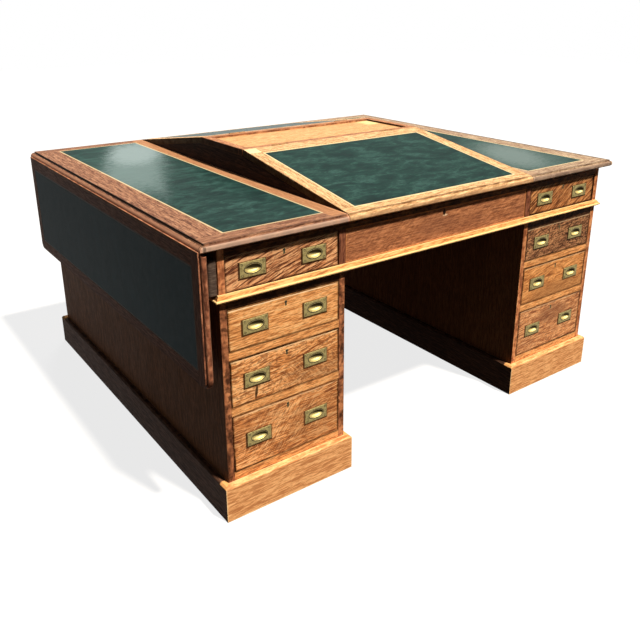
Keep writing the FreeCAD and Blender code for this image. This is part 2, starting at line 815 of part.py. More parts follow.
def pull(x, z):
    """Cast flush pull: a bevelled plate with a dished cup for the fingers."""
    plate = board(around(0, pull_length), (0, pull_thickness), around(0, pull_height))
    rim = [edge for edge in plate.Edges if edge.BoundBox.YMax < pull_bevel]
    plate = plate.makeChamfer(pull_bevel, rim)
    cup = pull_cup(0).common(pull_cup(pull_bevel))
    return moved(plate.fuse(cup).cut(pull_dish()).removeSplitter(), x, -carcase_y - pull_proud, z)


def drawer_brass(opening):
    """Both pulls and the lock case of the front left drawer in an opening."""
    middle_x = -(opening_outer + opening_inner) / 2
    width, depth, height = lock_case
    pulls = [pull(middle_x + offset, sum(opening) / 2) for offset in (-pull_spacing / 2, pull_spacing / 2)]
    back_y = -carcase_y + front_thickness
    case = board(around(middle_x, width), (back_y - depth, back_y),
                 around(opening[1] - keyhole_drop, height))
    return pulls + [case]


# ---------------------------------------------------------------- assembly

def at_corner(solids, corner):
    """Front left pieces carried to one of the desk's four corners."""
    if corner in ("front_right", "rear_left"):
        solids = [flipped(solid) for solid in solids]
    if corner.startswith("rear"):
        solids = [turned(solid) for solid in solids]
    return solids


def deliver(name, solids):
    """Writes one node, moved so that the origin is under the middle of the whole box."""
    shape = Part.Compound(solids) if len(solids) > 1 else solids[0]
    shape = moved(shape, x=leaf_proud / 2)
    shape.exportStep(os.path.join("parts", name + ".step"))


def main():
    os.makedirs("parts", exist_ok=True)
    fixed = (pedestal_sides, pedestal_rails, pedestal_boards, plinths, drawer_runners, frieze_sides, frieze_rails,
             frieze_panels, well_boards, base_moulding, top_left, top_right, top_leathers, ridge_frame,
             lid_hardware, bracket_blocks)
    moving = (leaf, leaf_leather, bracket_front, bracket_rear)
    for piece in fixed + moving:
        deliver(piece.__name__, piece())
    deliver("leaf_hinges", at_leaf_pins([leaf_hinge_fixed()]))
    deliver("leaf_flaps", [hanging(half) for half in at_leaf_pins([leaf_hinge_moving()])])
    for end in ("front", "rear"):
        carry = turned if end == "rear" else moved
        deliver(f"lid_{end}", [carry(slope_board())])
        deliver(f"lid_{end}_leather", [carry(slope_leather())])
        deliver(f"lid_{end}_flaps", [carry(half) for half in slope_flaps()])
    for number, opening in sorted(drawer_openings().items()):
        setback = frieze_drawer_setback if number == 1 else 0
        box = [moved(solid, y=setback) for solid in drawer_box(opening)]
        brass = [moved(solid, y=setback) for solid in drawer_brass(opening)]
        for corner in ("front_left", "front_right", "rear_left", "rear_right"):
            deliver(f"drawer_{corner}_{number}", at_corner(box, corner))
            deliver(f"brass_{corner}_{number}", at_corner(brass, corner))


main()
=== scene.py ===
"""Looks of the oak partners desk: finishes for timber, hides and brass, and the finer fittings."""

import logging
import math
import random
from dataclasses import dataclass, field
from enum import Enum
from functools import cache

import bmesh
import bpy
from mathutils import Matrix, Vector


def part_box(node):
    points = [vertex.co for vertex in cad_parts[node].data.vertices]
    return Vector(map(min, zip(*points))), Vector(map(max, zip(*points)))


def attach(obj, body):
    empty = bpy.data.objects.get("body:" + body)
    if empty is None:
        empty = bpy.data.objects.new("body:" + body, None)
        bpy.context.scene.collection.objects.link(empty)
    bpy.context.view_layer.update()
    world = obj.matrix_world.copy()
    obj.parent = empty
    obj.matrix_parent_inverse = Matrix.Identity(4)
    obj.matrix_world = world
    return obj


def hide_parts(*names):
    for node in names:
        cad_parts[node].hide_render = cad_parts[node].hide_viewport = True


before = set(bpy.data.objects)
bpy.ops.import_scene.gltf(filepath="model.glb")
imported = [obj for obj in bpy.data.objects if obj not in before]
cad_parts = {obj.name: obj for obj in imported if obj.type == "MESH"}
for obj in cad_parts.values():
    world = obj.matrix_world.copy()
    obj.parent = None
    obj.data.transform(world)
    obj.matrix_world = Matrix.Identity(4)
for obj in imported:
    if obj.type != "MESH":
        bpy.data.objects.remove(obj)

log = logging.getLogger("partners_desk")

MM = 0.001
TO_MM = 1000.0
BOTH_SIDES = (-1, 1)
MIX = "ShaderNodeMixRGB"
MATH = "ShaderNodeMath"
VECTOR = "ShaderNodeVectorMath"
NOISE = "ShaderNodeTexNoise"
STEP = "ShaderNodeMapRange"
SPLIT = "ShaderNodeSeparateXYZ"
JOIN = "ShaderNodeCombineXYZ"
TURN = "ShaderNodeVectorRotate"
RAMP = "ShaderNodeValToRGB"
BUMP = "ShaderNodeBump"
ATTRIBUTE = "ShaderNodeAttribute"
SURFACE = "ShaderNodeBsdfPrincipled"
OUTPUT = "ShaderNodeOutputMaterial"

Pair = tuple[float, float]
Tones = tuple[str, str, str]
Tree = bpy.types.NodeTree
Socket = bpy.types.NodeSocket
Shape = bmesh.types.BMesh


class Grain(Enum):
    """Which way the fibres of a board run."""

    LONGEST = "longest"
    DEPTH_Y = "y"
    UPRIGHT_Z = "z"


class Figure(Enum):
    """Figures of the oak: slant of the fibres in degrees, waviness in mm, contrast of the bands."""

    PLAIN = (-4.0, 5.0, 0.35)
    STRAIGHT = (-2.0, 2.0, 0.2)
    FEATHER = (-17.0, 7.0, 1.3)
    CROSSED = (-34.0, 5.0, 0.7)
    BOLD = (-1.0, 3.0, 0.9)
    CLOUDED = (-6.0, 10.0, 0.35)


@dataclass(frozen=True)
class Patch:
    """A mark on a board, a soft-edged oval of another colour: one that use or the tree left, or painted light
    or shade.

    Its place is from the middle of the board: along the fibres, across them and, if given, through it.
    """

    place_mm: tuple[float, ...]
    size_mm: tuple[float, ...]
    colour: str
    strength: float = 0.8
    softness: float = 0.4
    ragged: float = 0.5
    turn: float = 0.0
    square: bool = False


@dataclass(frozen=True)
class Strip(Patch):
    """A mark with straight edges and square corners, such as a let-in piece, a line of dirt and painted
    shadow, a dark line of painted shade or a painted highlight.
    """

    ragged: float = 0.05
    square: bool = True


@dataclass(frozen=True)
class WearAndEdgeLight:
    """Rubbing and painted edge light on the outermost faces of a board: at axis 0 its ends, 1 its sides, 2
    its broad faces.
    """

    axis: int
    reach_mm: float
    colour: str
    strength: float = 0.7


def linear(code: str) -> tuple[float, float, float, float]:
    """Turns an sRGB hex code to linear colour.

    Args:
        code: Six hex digits with a leading hash.

    Returns:
        Linear red, green, blue and an alpha of 1.
    """
    parts = [int(code[i:i + 2], 16) / 255 for i in (1, 3, 5)]
    red, green, blue = (c / 12.92 if c <= 0.04045 else ((c + 0.055) / 1.055) ** 2.4 for c in parts)
    return red, green, blue, 1.0


def add(tree: Tree, kind: str, *values, output: int | str = 0, named: dict | None = None,
        stops: tuple[tuple[float, str], ...] = (), **settings) -> Socket:
    """Adds one node with its settings and links.

    Args:
        tree: The node tree it goes in.
        kind: Blender's name of the node.
        values: What goes into its inputs in order, each a socket, a value, or None to leave it.
        output: Which output to hand back.
        named: More inputs by name.
        stops: For a colour ramp, the pairs of place and sRGB hex.
        settings: The node's own properties.

    Returns:
        The chosen output socket, or the node itself where it has none.
    """
    node = tree.nodes.new(kind)
    for name, value in settings.items():
        setattr(node, name, value)
    for key, value in [*enumerate(values), *(named or {}).items()]:
        if isinstance(value, Socket):
            tree.links.new(value, node.inputs[key])
        elif value is not None:
            node.inputs[key].default_value = value
    for place, _ in stops[1:-1]:
        node.color_ramp.elements.new(place)
    for i, (place, code) in enumerate(stops):
        node.color_ramp.elements[i].position = place
        node.color_ramp.elements[i].color = linear(code)
    return node.outputs[output] if len(node.outputs) else node


def board_mark(tree: Tree, name: str, factor: float) -> Socket:
    """Reads one of the marks that Timber writes on its boards, times a factor."""
    found = add(tree, ATTRIBUTE, attribute_name=f"board_{name}", output="Vector")
    return add(tree, VECTOR, found, operation="SCALE", named={"Scale": factor})


def edge_distances(tree: Tree) -> list[Socket]:
    """Finds how far a point is from its board's nearer end, side and broad face, in metres."""
    near, far = (add(tree, ATTRIBUTE, attribute_name=f"board_{end}", output="Vector")
                 for end in ("near", "far"))
    return list(add(tree, SPLIT, add(tree, VECTOR, near, far, operation="MINIMUM")).node.outputs)


def swing(tree: Tree, noise: Socket, weight: float) -> Socket:
    """Brings a noise about 0.5 to one about 0, times a weight."""
    return add(tree, MATH, add(tree, MATH, noise, 0.5, operation="SUBTRACT"), weight, operation="MULTIPLY")


def seen(tree: Tree) -> Socket:
    """Tells the camera's rays, and those that go on from gloss or glass, from the rays that only light."""
    camera, gloss, glass = (add(tree, "ShaderNodeLightPath", output=f"Is {kind} Ray")
                            for kind in ("Camera", "Glossy", "Transmission"))
    return add(tree, MATH, add(tree, MATH, camera, gloss, operation="MAXIMUM"), glass, operation="MAXIMUM")


def with_patches(tree: Tree, colour: Socket, place: Socket, noise: Socket,
                 patches: tuple[Patch, ...]) -> Socket:
    """Lays patches over a colour.

    Args:
        tree: The node tree.
        colour: The colour under them.
        place: Where a point lies in its board, in mm.
        noise: A noise about 0.5 that roughens their outlines.
        patches: The patches, first below.

    Returns:
        The colour with the patches on it.
    """
    for patch in patches:
        pad = (0.0,) * (3 - len(patch.size_mm))
        off = add(tree, VECTOR, place, patch.place_mm + pad, operation="SUBTRACT")
        if patch.turn:
            off = add(tree, TURN, off, None, None, math.radians(-patch.turn), rotation_type="Z_AXIS")
        off = add(tree, VECTOR, off, tuple(2.0 / size for size in patch.size_mm) + pad, operation="MULTIPLY")
        if patch.square:
            x, y, z = add(tree, SPLIT, add(tree, VECTOR, off, operation="ABSOLUTE")).node.outputs
            far = add(tree, MATH, add(tree, MATH, x, y, operation="MAXIMUM"), z, operation="MAXIMUM")
        else:
            far = add(tree, VECTOR, off, operation="LENGTH", output="Value")
        far = add(tree, MATH, far, swing(tree, noise, patch.ragged * 2.0), operation="ADD")
        share = add(tree, STEP, far, 1.0 - patch.softness, 1.0 + patch.softness, patch.strength, 0.0,
                    interpolation_type="SMOOTHSTEP")
        colour = add(tree, MIX, share, colour, linear(patch.colour))
    return colour


@dataclass(frozen=True)
class Finish:
    """What all finishes share: a name, and the one material that each of them is made into."""

    name: str

    @cache
    def material(self) -> bpy.types.Material:
        """Makes the material, the first time that a piece asks for it.

        Returns:
            The material.
        """
        material = bpy.data.materials.new(self.name)
        material.use_nodes = True
        material.node_tree.nodes.clear()
        self.paint(material.node_tree)
        return material

    def paint(self, tree: Tree) -> None:
        """Builds the finish's nodes."""
        raise NotImplementedError


@dataclass(frozen=True)
class WaxedOak(Finish):
    """Quarter-sawn oak, planed, stained and waxed many times: warm gold, dark open pores and a soft shine.

    Its tones are the light, the middle and the dark of the grain.
    """

    tones: Tones
    figure: Figure = Figure.STRAIGHT
    ray: float = 0.25
    ray_slant: float = -40.0
    ray_place_mm: Pair = (0.0, 0.0)
    ray_reach_mm: Pair = (4000.0, 4000.0)
    fleck: float = 0.2
    smoke: float = 0.25
    smoke_colour: str = "#5b3a28"
    # The colour of a board's edges: rubbing on some boards, and on others a painted highlight or the painted
    # shade of the gap beside them.
    arris_colour: str = "#5a3219"
    arris: float = 0.35
    arris_mm: float = 3.5
    # Painted shade on the faces that look to the desk's sides, and how strong it is.
    sideways_shade: str = ""
    sideways_shade_share: float = 0.72
    wear_and_edge_light: tuple[WearAndEdgeLight, ...] = ()
    band_mm: float = 9.0
    roughness: float = 0.5
    specular: float = 0.02
    patches: tuple[Patch, ...] = ()
    field_half_mm: Pair = (0.0, 0.0)
    joint_mm: float = 1.1
    joint_colour: str = "#2b170d"

    def fibres(self, tree: Tree) -> tuple:
        """Finds where a point lies in its board. Round a sunk field, end rails run right across.

        Args:
            tree: The node tree.

        Returns:
            Sockets for the place along the fibres, across them and through the board, in mm, and for the line
            of the joints, or None for that on a plain board.
        """
        along, across, through = add(tree, SPLIT, board_mark(tree, "place", TO_MM)).node.outputs
        half_along, half_across = self.field_half_mm
        if not half_along:
            return along, across, through, None
        beyond = add(tree, MATH, along, operation="ABSOLUTE")
        rail = add(tree, MATH, beyond, half_along, operation="GREATER_THAN")
        near_joint = add(tree, MATH, beyond, half_along, operation="SUBTRACT")
        near_joint = add(tree, MATH, near_joint, operation="ABSOLUTE")
        line = add(tree, STEP, near_joint, 0.0, self.joint_mm, 1.0, 0.0)
        outside = add(tree, MATH, across, operation="ABSOLUTE")
        outside = add(tree, MATH, outside, half_across, operation="GREATER_THAN")
        line = add(tree, MATH, line, outside, operation="MULTIPLY")
        along, across = (add(tree, "ShaderNodeMix", rail, named={2: border, 3: end})
                         for border, end in ((along, across), (across, along)))
        return along, across, through, line

    def arris_mask(self, tree: Tree) -> Socket:
        """Shows how near a point is to its board's edges.

        Args:
            tree: The node tree.

        Returns:
            A socket that is 1 on an edge and 0 from a few mm off it.
        """
        a, b, c = edge_distances(tree)
        low = add(tree, MATH, a, b, operation="MINIMUM")
        high = add(tree, MATH, a, b, operation="MAXIMUM")
        inner = add(tree, MATH, high, c, operation="MINIMUM")
        middle = add(tree, MATH, low, inner, operation="MAXIMUM")
        return add(tree, STEP, middle, self.arris_mm * 0.35 * MM, self.arris_mm * MM, 1.0, 0.0)

    def with_wear_and_edge_light(self, tree: Tree, wood: Socket) -> Socket:
        """Rubs the stain off the outermost faces and paints on them the highlight or shade that a moulded
        edge catches.

        Args:
            tree: The node tree.
            wood: The colour under the wear.

        Returns:
            The colour with the wear on it.
        """
        for wear_and_edge_light in self.wear_and_edge_light:
            depth = edge_distances(tree)[wear_and_edge_light.axis]
            share = add(tree, STEP, depth, wear_and_edge_light.reach_mm * 0.4 * MM, wear_and_edge_light.reach_mm * MM, wear_and_edge_light.strength, 0.0)
            wood = add(tree, MIX, share, wood, linear(wear_and_edge_light.colour))
        return wood

    @staticmethod
    def layer(tree: Tree, place: Socket, per_mm: Pair, detail: float) -> Socket:
        """Adds one layer of noise that is drawn out along the fibres.

        Args:
            tree: The node tree.
            place: Where the point lies, in mm.
            per_mm: How often the noise changes along the fibres and across them.
            detail: How many finer octaves ride on it.

        Returns:
            The noise, about 0.5.
        """
        spot = add(tree, VECTOR, place, (*per_mm, 0.05), operation="MULTIPLY")
        return add(tree, NOISE, spot, named={"Scale": 1.0, "Detail": detail, "Roughness": 0.62})

    def rayed(self, tree: Tree, wood: Socket, place: Socket, shift: Socket, clouds: Socket) -> Socket:
        """Draws the medullary rays, which catch the light as pale flakes across the fibres, dark beside them.

        Args:
            tree: The node tree.
            wood: The colour under them.
            place: Where a point lies in its board, in mm.
            shift: How far off in the noise the board lies, in mm.
            clouds: The noise that frays the edge of the rayed part.

        Returns:
            The colour with the rays on it.
        """
        crossing = add(tree, TURN, place, None, None, math.radians(self.ray_slant), rotation_type="Z_AXIS")
        crossing = add(tree, VECTOR, crossing, shift, operation="ADD")
        # Rays are drawn 4 mm by 28 mm, coarser than the real ones, so that they show.
        flakes = self.layer(tree, crossing, (0.035, 0.24), detail=2.0)
        where = add(tree, VECTOR, place, (*self.ray_place_mm, 0.0), operation="SUBTRACT")
        per_reach = tuple(1.0 / reach for reach in self.ray_reach_mm) + (0.0,)
        where = add(tree, VECTOR, where, per_reach, operation="MULTIPLY")
        where = add(tree, VECTOR, where, operation="LENGTH", output="Value")
        where = add(tree, MATH, where, clouds, operation="ADD")
        where = add(tree, STEP, where, 1.2, 1.7, 1.0, 0.0)
        for start, end, code in ((0.53, 0.6, self.tones[0]), (0.47, 0.4, self.tones[2])):
            share = add(tree, STEP, flakes, start, end, 0.0, self.ray)
            share = add(tree, MATH, share, where, operation="MULTIPLY")
            wood = add(tree, MIX, share, wood, linear(code))
        return wood

    def paint(self, tree: Tree) -> None:
        """Builds the oak's nodes.

        Args:
            tree: The material's node tree, still empty.
        """
        light, middle, dark = self.tones
        slant, wave, contrast = self.figure.value
        along, across, through, joint = self.fibres(tree)
        # Each board lies elsewhere in the noise, by its own tone.
        shift = board_mark(tree, "tone", 1900.0)
        place = add(tree, JOIN, along, across, through)
        moved = add(tree, TURN, place, None, None, math.radians(slant), rotation_type="Z_AXIS")
        moved = add(tree, VECTOR, moved, shift, operation="ADD")
        # Boughs and roots push the fibres aside over a hand's width, which bends every band of the figure.
        slow = add(tree, VECTOR, moved, (0.0062, 0.016, 0.02), operation="MULTIPLY")
        bend = add(tree, NOISE, slow, named={"Scale": 1.0, "Detail": 2.0, "Roughness": 0.5})
        bend = add(tree, JOIN, 0.0, swing(tree, bend, wave * 4.0), 0.0)
        bent = add(tree, VECTOR, moved, bend, operation="ADD")
        # Year rings show as bands some millimetres wide and a hand long.
        rings = self.layer(tree, bent, (0.011, 1.0 / self.band_mm), detail=2.5)
        # Single fibres are a tenth of a millimetre wide, and are drawn as streaks of 4 mm so that they show.
        streaks = self.layer(tree, bent, (0.024, 0.27), detail=2.5)
        # Open pores: dark dashes about 9 mm by 0.4 mm, drawn 20 mm by 2.5 mm so that they show.
        pores = self.layer(tree, bent, (0.05, 0.4), detail=1.5)
        # Smoke and wax darken a board in clouds a hand's width across.
        clouds = self.layer(tree, moved, (0.006, 0.011), detail=4.0)
        mood = add(tree, ATTRIBUTE, attribute_name="board_tone", output="Vector")
        mixed = add(tree, STEP, add(tree, SPLIT, mood, output=2), 0.0, 1.0, 0.42, 0.56)
        for noise, weight in ((rings, 0.5 + 2.6 * contrast), (streaks, 3.0 + 0.6 * contrast)):
            mixed = add(tree, MATH, mixed, swing(tree, noise, weight), operation="ADD")
        wood = add(tree, RAMP, mixed, stops=((0.08, light), (0.5, middle), (0.94, dark)))
        wood = add(tree, MIX, add(tree, STEP, pores, 0.55, 0.64, 0.0, 0.8), wood, linear(dark))
        if self.ray:
            wood = self.rayed(tree, wood, place, shift, clouds)
        smoke_colour = linear(self.smoke_colour)
        if self.fleck:
            # Dark flecks, 11 mm by 5 mm.
            specks = self.layer(tree, bent, (0.09, 0.2), detail=2.0)
            wood = add(tree, MIX, add(tree, STEP, specks, 0.5, 0.6, 0.0, self.fleck), wood, smoke_colour)
        wood = add(tree, MIX, add(tree, STEP, clouds, 0.42, 0.68, 0.0, self.smoke), wood, smoke_colour)
        if self.sideways_shade:
            # Painted shade: faces that look to the desk's sides are darkened against those that face a
            # sitter, as if turned away from the light.
            normal = add(tree, "ShaderNodeNewGeometry", output="Normal")
            sideways = add(tree, MATH, add(tree, SPLIT, normal, output=0), operation="ABSOLUTE")
            sideways = add(tree, STEP, sideways, 0.55, 0.8, 0.0, self.sideways_shade_share)
            wood = add(tree, MIX, sideways, wood, linear(self.sideways_shade))
        # Edges take that colour: rubbing on some boards, on others a painted highlight or the painted shade
        # of a gap.
        rubbed_and_painted_light = add(tree, STEP, clouds, 0.3, 0.6, self.arris, self.arris * 0.45)
        edge = add(tree, MATH, self.arris_mask(tree), rubbed_and_painted_light, operation="MULTIPLY")
        wood = add(tree, MIX, edge, wood, linear(self.arris_colour))
        wood = self.with_wear_and_edge_light(tree, wood)
        wood = with_patches(tree, wood, board_mark(tree, "place", TO_MM), streaks, self.patches)
        if joint is not None:
            line = add(tree, MATH, joint, 0.7, operation="MULTIPLY")
            wood = add(tree, MIX, line, wood, linear(self.joint_colour))
        relief = add(tree, MATH, streaks, add(tree, MATH, pores, -0.8, operation="MULTIPLY"), operation="ADD")
        bump = add(tree, BUMP, 0.5, 0.6 * MM, named={"Height": relief})
        shine = add(tree, STEP, streaks, 0.3, 0.7, self.roughness - 0.07, self.roughness + 0.1)
        add(tree, OUTPUT, add(tree, SURFACE, named={
            "Base Color": wood, "Roughness": shine, "Normal": bump, "IOR": 1.5,
            "Specular IOR Level": self.specular}))


@dataclass(frozen=True)
class BarePine(WaxedOak):
    """Deal planed and left bare inside the carcase: pale, dry and dull, gone brown with age.

    It has the oak's fibres and rings, without the rays.
    """

    name: str = "pine_planed_bare"
    tones: Tones = ("#c79d68", "#ab7f4c", "#86592f")
    figure: Figure = Figure.PLAIN
    ray: float = 0.0
    fleck: float = 0.05
    smoke: float = 0.3
    arris: float = 0.15
    band_mm: float = 14.0
    roughness: float = 0.66


@dataclass(frozen=True)
class SkiverLeather(Finish):
    """Skiver hide, dyed green by hand and waxed: clouded colour, a low shine and a fine pebbled face.

    Its tones are the dark, the middle and the light of the dye.
    """

    tones: Tones = ("#0d201e", "#16302b", "#2e4c46")
    # The colour and strength of the painted highlight round the hide's edge.
    border: str = "#e6cfa0"
    edge_highlight_strength: float = 0.9
    clouding: float = 1.0
    patches: tuple[Patch, ...] = ()
    roughness: float = 0.55
    specular: float = 0.07

    def paint(self, tree: Tree) -> None:
        """Builds the leather's nodes.

        Args:
            tree: The material's node tree, still empty.
        """
        place = board_mark(tree, "place", TO_MM)
        moved = add(tree, VECTOR, place, board_mark(tree, "tone", 900.0), operation="ADD")
        # The dye was rubbed on across the desk: clouds some centimetres long, with streaks in them.
        clouds, streaks = (
            add(tree, NOISE, add(tree, VECTOR, moved, per_mm, operation="MULTIPLY"),
                named={"Scale": 1.0, "Detail": detail, "Roughness": rough, "Distortion": distortion})
            for per_mm, detail, rough, distortion in (((0.026, 0.012, 0.01), 5.0, 0.62, 0.7),
                                                      ((0.2, 0.045, 0.01), 4.0, 0.66, 0.9)))
        dye = add(tree, MATH, swing(tree, clouds, 1.0), swing(tree, streaks, 0.9), operation="ADD")
        dye = add(tree, MATH, dye, 2.5 * self.clouding, operation="MULTIPLY")
        dye = add(tree, MATH, dye, 0.42, operation="ADD")
        hide = add(tree, RAMP, dye, stops=tuple(zip((0.0, 0.45, 1.0), self.tones)))
        hide = with_patches(tree, hide, place, streaks, self.patches)
        # Round the hide, where it meets the oak, a pale line is a painted highlight for the lit edge of the
        # oak's rebate: 3 mm wide, drawn at 5 mm.
        along, across, _ = edge_distances(tree)
        edge = add(tree, MATH, along, across, operation="MINIMUM")
        edge_highlight = add(tree, STEP, edge, 4.0 * MM, 6.0 * MM, self.edge_highlight_strength, 0.0)
        hide = add(tree, MIX, edge_highlight, hide, linear(self.border))
        # Pebble grain is under a millimetre in the real hide and is drawn at 2.2 mm.
        pebbles = add(tree, "ShaderNodeTexVoronoi", moved, None, 0.45, feature="SMOOTH_F1")
        bump = add(tree, BUMP, 0.12, 0.3 * MM, named={"Height": pebbles})
        shine = add(tree, STEP, streaks, 0.3, 0.7, self.roughness, self.roughness + 0.14)
        add(tree, OUTPUT, add(tree, SURFACE, named={
            "Base Color": hide, "Roughness": shine, "Normal": bump, "IOR": 1.5,
            "Specular IOR Level": self.specular}))


@dataclass(frozen=True)
class AgedBrass(Finish):
    """Cast brass: filed, lacquered once and since gone olive with handling, bright only where fingers rub; in
    a finger bowl, painted shade darkens the walls that face down.
    """

    clean: str
    dull: str
    # Dirt takes this colour, and in a finger bowl so does the painted shade.
    dirt_and_shade: str = "#3a3320"
    tarnish: float = 0.5
    roughness: float = 0.6
    shade_painted_in_bowl: bool = False

    def paint(self, tree: Tree) -> None:
        """Builds the brass's nodes.

        Args:
            tree: The material's node tree, still empty.
        """
        place = add(tree, "ShaderNodeTexCoord", output="Object")
        place = add(tree, VECTOR, place, operation="SCALE", named={"Scale": TO_MM})
        # Tarnish gathers in spots of 5 to 10 mm, and fine scratches of use cross them.
        spots = add(tree, NOISE, place, named={"Scale": 0.16, "Detail": 4.0, "Roughness": 0.65})
        tarnish = add(tree, STEP, spots, 0.62 - 0.3 * self.tarnish, 0.78 - 0.2 * self.tarnish, 0.0, 1.0)
        metal = add(tree, MIX, tarnish, linear(self.clean), linear(self.dull))
        grime_and_shadow = add(tree, NOISE, place, named={"Scale": 0.5, "Detail": 3.0})
        metal = add(tree, MIX, add(tree, STEP, grime_and_shadow, 0.58, 0.74, 0.0, 0.6), metal, linear(self.dirt_and_shade))
        if self.shade_painted_in_bowl:
            # Painted shade: the upper and right walls of the bowl, which face down and away from the light,
            # are darkened as if in their own shadow, and the lower walls stay bright as if lit.
            facing = add(tree, "ShaderNodeNewGeometry", output="Normal")
            lift = add(tree, VECTOR, facing, (0.35, 0.0, 0.94), operation="DOT_PRODUCT", output="Value")
            painted_bowl_shade = add(tree, STEP, lift, -0.05, 0.4, 0.97, 0.0, interpolation_type="SMOOTHSTEP")
            metal = add(tree, MIX, painted_bowl_shade, metal, linear(self.dirt_and_shade))
        scratches = add(tree, VECTOR, place, (0.25, 2.4, 2.4), operation="MULTIPLY")
        scratches = add(tree, NOISE, scratches, named={"Scale": 1.0, "Detail": 2.0})
        bump = add(tree, BUMP, 0.15, 0.08 * MM, named={"Height": scratches})
        shine = add(tree, MATH, tarnish, 0.16, operation="MULTIPLY")
        shine = add(tree, MATH, shine, self.roughness, operation="ADD")
        add(tree, OUTPUT, add(tree, SURFACE, named={
            "Base Color": metal, "Metallic": 1.0, "Roughness": shine, "Normal": bump}))


@dataclass(frozen=True)
class BlackShadeAndDirt(Finish):
    """Near black with a faint cool shine: painted shade in each keyhole's eye, and dirt and painted shade in
    the groove round each bowl and the ring round each screw head.
    """

    name: str = "black_painted_shade_and_dirt"

    def paint(self, tree: Tree) -> None:
        """Builds the iron's nodes.

        Args:
            tree: The material's node tree, still empty.
        """
        place = add(tree, "ShaderNodeTexCoord", output="Object")
        dark_mottle = add(tree, NOISE, place, named={"Scale": 700.0, "Detail": 3.0})
        colour = add(tree, RAMP, dark_mottle, stops=((0.35, "#0d0b0a"), (0.7, "#241a14")))
        add(tree, OUTPUT, add(tree, SURFACE, named={
            "Base Color": colour, "Roughness": 0.7, "Metallic": 0.0, "Specular IOR Level": 0.2}))


@dataclass(frozen=True)
class PaleFloor(Finish):
    """A plain studio floor of matt white paint: it shows near white and still takes the desk's shadow."""

    name: str = "floor_matt_white_paint"

    def paint(self, tree: Tree) -> None:
        """Builds the floor's nodes.

        Args:
            tree: The material's node tree, still empty.
        """
        eye = seen(tree)
        share = add(tree, MATH, eye, 0.8, operation="MULTIPLY")
        colour = add(tree, MIX, eye, linear("#2c2c2c"), linear("#f7f7f6"))
        paint = add(tree, "ShaderNodeBsdfDiffuse", colour)
        white = add(tree, "ShaderNodeEmission", (1.0, 1.0, 1.0, 1.0), 1.0)
        add(tree, OUTPUT, add(tree, "ShaderNodeMixShader", share, paint, white))


def solids(mesh: bpy.types.Mesh) -> list[range]:
    """Splits a CAD mesh into its solids. Each solid's faces follow one another and close on themselves.

    Args:
        mesh: The mesh of a CAD node.

    Returns:
        One range of face numbers for each solid.
    """
    cells_per_metre = 2e4
    places: dict[tuple[int, ...], int] = {}
    cells = (tuple(round(c * cells_per_metre) for c in v.co) for v in mesh.vertices)
    corner = [places.setdefault(cell, len(places)) for cell in cells]
    found, loose, start = [], set(), 0
    for number, face in enumerate(mesh.polygons):
        ring = [corner[v] for v in face.vertices]
        for a, b in zip(ring, ring[1:] + ring[:1]):
            if (b, a) in loose:
                loose.discard((b, a))
            elif a != b:
                loose.add((a, b))
        if not loose:
            found.append(range(start, number + 1))
            start = number + 1
    return found


def dress(node: str, *finishes: Finish) -> None:
    """Gives a CAD node its finishes.

    Args:
        node: The node's name.
        finishes: One finish for each of the mesh's slots.
    """
    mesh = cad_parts[node].data
    mesh.materials.clear()
    for finish in finishes:
        mesh.materials.append(finish.material())


@dataclass
class Timber:
    """Marks up the boards of a CAD node, so that each has its own grain, tone and edges."""

    node: str
    grain: Grain = Grain.LONGEST
    tilt: float = 0.0
    centred: bool = True

    def axes(self, size: Vector) -> list[int]:
        """Picks the axes of a board.

        Args:
            size: The board's extents.

        Returns:
            The axis along the fibres, then across them, then through the board.
        """
        order = sorted(range(3), key=lambda i: -size[i])
        if self.grain is not Grain.LONGEST:
            first = "xyz".index(self.grain.value)
            order = [first] + [i for i in order if i != first]
        return order

    def mark(self) -> list[range]:
        """Writes what the finishes read: the place in the board, its tone, and how far its ends are.

        Returns:
            The faces of each solid.
        """
        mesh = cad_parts[self.node].data
        turn = Matrix.Rotation(self.tilt, 3, "X")
        marks = {name: [0.0] * (3 * len(mesh.vertices)) for name in ("place", "tone", "near", "far")}
        boards = solids(mesh)
        dice = random.Random(self.node)
        for faces in boards:
            points = sorted({v for f in faces for v in mesh.polygons[f].vertices})
            spots = {v: turn @ mesh.vertices[v].co for v in points}
            low, high = (Vector([most(spot[i] for spot in spots.values()) for i in range(3)])
                         for most in (min, max))
            middle = (low + high) / 2 if self.centred else Vector((0.0, 0.0, 0.0))
            axes = self.axes(high - low)
            mood = [dice.random() for _ in range(3)]
            for v, spot in spots.items():
                for name, value in (("place", spot - middle), ("near", spot - low), ("far", high - spot)):
                    marks[name][3 * v:3 * v + 3] = [value[i] for i in axes]
                marks["tone"][3 * v:3 * v + 3] = mood
        for name, values in marks.items():
            attribute = mesh.attributes.new(f"board_{name}", "FLOAT_VECTOR", "POINT")
            attribute.data.foreach_set("vector", values)
        return boards

    def dress(self, *finishes: Finish, pick: tuple[int, ...] = ()) -> None:
        """Marks the boards up and gives them their finishes.

        Args:
            finishes: The finishes.
            pick: The number of each solid's finish. The last one goes on for the solids after it.
        """
        boards = self.mark()
        dress(self.node, *finishes)
        if pick:
            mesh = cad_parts[self.node].data
            for number, faces in enumerate(boards):
                for face in faces:
                    mesh.polygons[face].material_index = pick[min(number, len(pick) - 1)]


